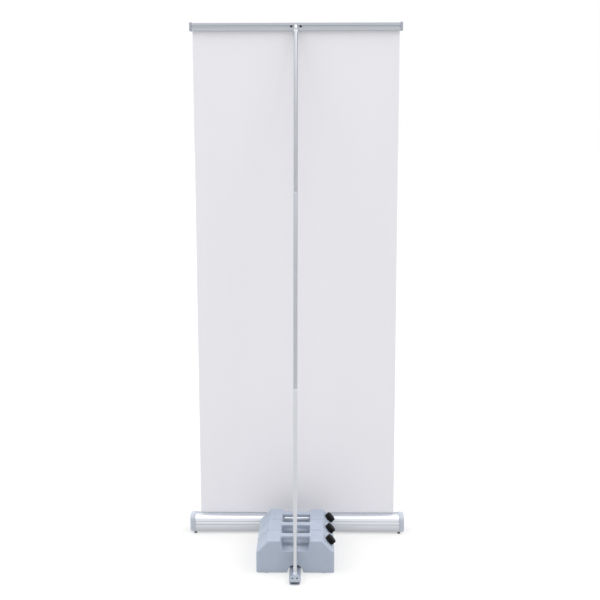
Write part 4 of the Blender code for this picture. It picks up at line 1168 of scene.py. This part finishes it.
def make_stage():
    builder = bmesh.new()
    half = 40.0
    corners = [(-half, -half, 0), (half, -half, 0), (half, half, 0), (-half, half, 0)]
    builder.faces.new([builder.verts.new(corner) for corner in corners])
    paper = Shader("studio_paper", FLOOR_COLOUR, 0.9, Emission_Strength=FLOOR_GLOW)
    paper.bsdf.inputs["Emission Color"].default_value = (1.0, 1.0, 1.0, 1.0)
    floor = make_object("studio_floor", builder, paper.finished(), 60)


def area_light(name, place, target, size, power):
    light = bpy.data.lights.new(name, "AREA")
    light.shape = "RECTANGLE"
    light.size, light.size_y = size
    light.energy = power
    obj = bpy.data.objects.new(name, light)
    bpy.context.collection.objects.link(obj)
    obj.location = place
    obj.rotation_euler = (Vector(target) - Vector(place)).to_track_quat("-Z", "Y").to_euler()
    return obj


def make_lights():
    """A white studio: light all round, strong panels high up at both sides, and a softbox overhead."""
    world = bpy.data.worlds.new("studio")
    world.use_nodes = True
    nodes = Nodes(world.node_tree)
    direction = nodes.node("ShaderNodeSeparateXYZ")
    nodes.link(nodes.node("ShaderNodeTexCoord").outputs["Generated"], direction.inputs["Vector"])
    height = direction.outputs["Z"]
    sideways = nodes.math("ABSOLUTE", direction.outputs["X"])
    room = nodes.between(height, *CEILING_RISE, ROOM_LIGHT, ROOM_LIGHT + CEILING_LIGHT, True)
    across = nodes.between(sideways, *PANEL_SIDES, 0.0, SIDE_LIGHT, True)
    panels = nodes.math("MULTIPLY", across, nodes.between(height, *PANEL_RISE, 0.0, 1.0, True))
    background = nodes.tree.nodes["Background"]
    nodes.link(nodes.math("ADD", room, panels), background.inputs["Strength"])
    background.inputs["Color"].default_value = (1.0, 1.0, 1.0, 1.0)
    bpy.context.scene.world = world
    area_light("overhead", (0.0, PLANE_Y - 1.4, 4.6), (0.0, PLANE_Y - 0.2, 0.3), (3.0, 2.4), OVERHEAD_WATTS)


def make_camera():
    """The photograph's view: from behind the stand, a little to the right and above, 10 degrees down."""
    place = (0.0858, PLANE_Y - 4.6491, 1.8581)
    focal, picture, sensor = 1103.8, 600.0, 36.0
    yaw, pitch, roll = -0.0154, 0.175, -0.002
    forward = Vector(
        (math.sin(yaw) * math.cos(pitch), math.cos(yaw) * math.cos(pitch), -math.sin(pitch))
    )
    level = forward.cross(Vector((0, 0, 1))).normalized()
    above = level.cross(forward)
    right = level * math.cos(roll) + above * math.sin(roll)
    up = above * math.cos(roll) - level * math.sin(roll)
    data = bpy.data.cameras.new("camera")
    data.sensor_width = sensor
    data.lens = focal * sensor / picture
    data.clip_end = 60.0
    camera = bpy.data.objects.new("camera", data)
    bpy.context.collection.objects.link(camera)
    rotation = Matrix((right, up, -forward)).transposed().to_4x4()
    camera.matrix_world = Matrix.Translation(place) @ rotation
    bpy.context.scene.camera = camera
    bpy.context.scene.view_settings.view_transform = "Standard"


make_cassette()
make_top_rail()
make_banner()
make_pole()
make_pole_head()
make_foot()
make_tanks()
dress_cad_nodes()
make_stage()
make_lights()
make_camera()
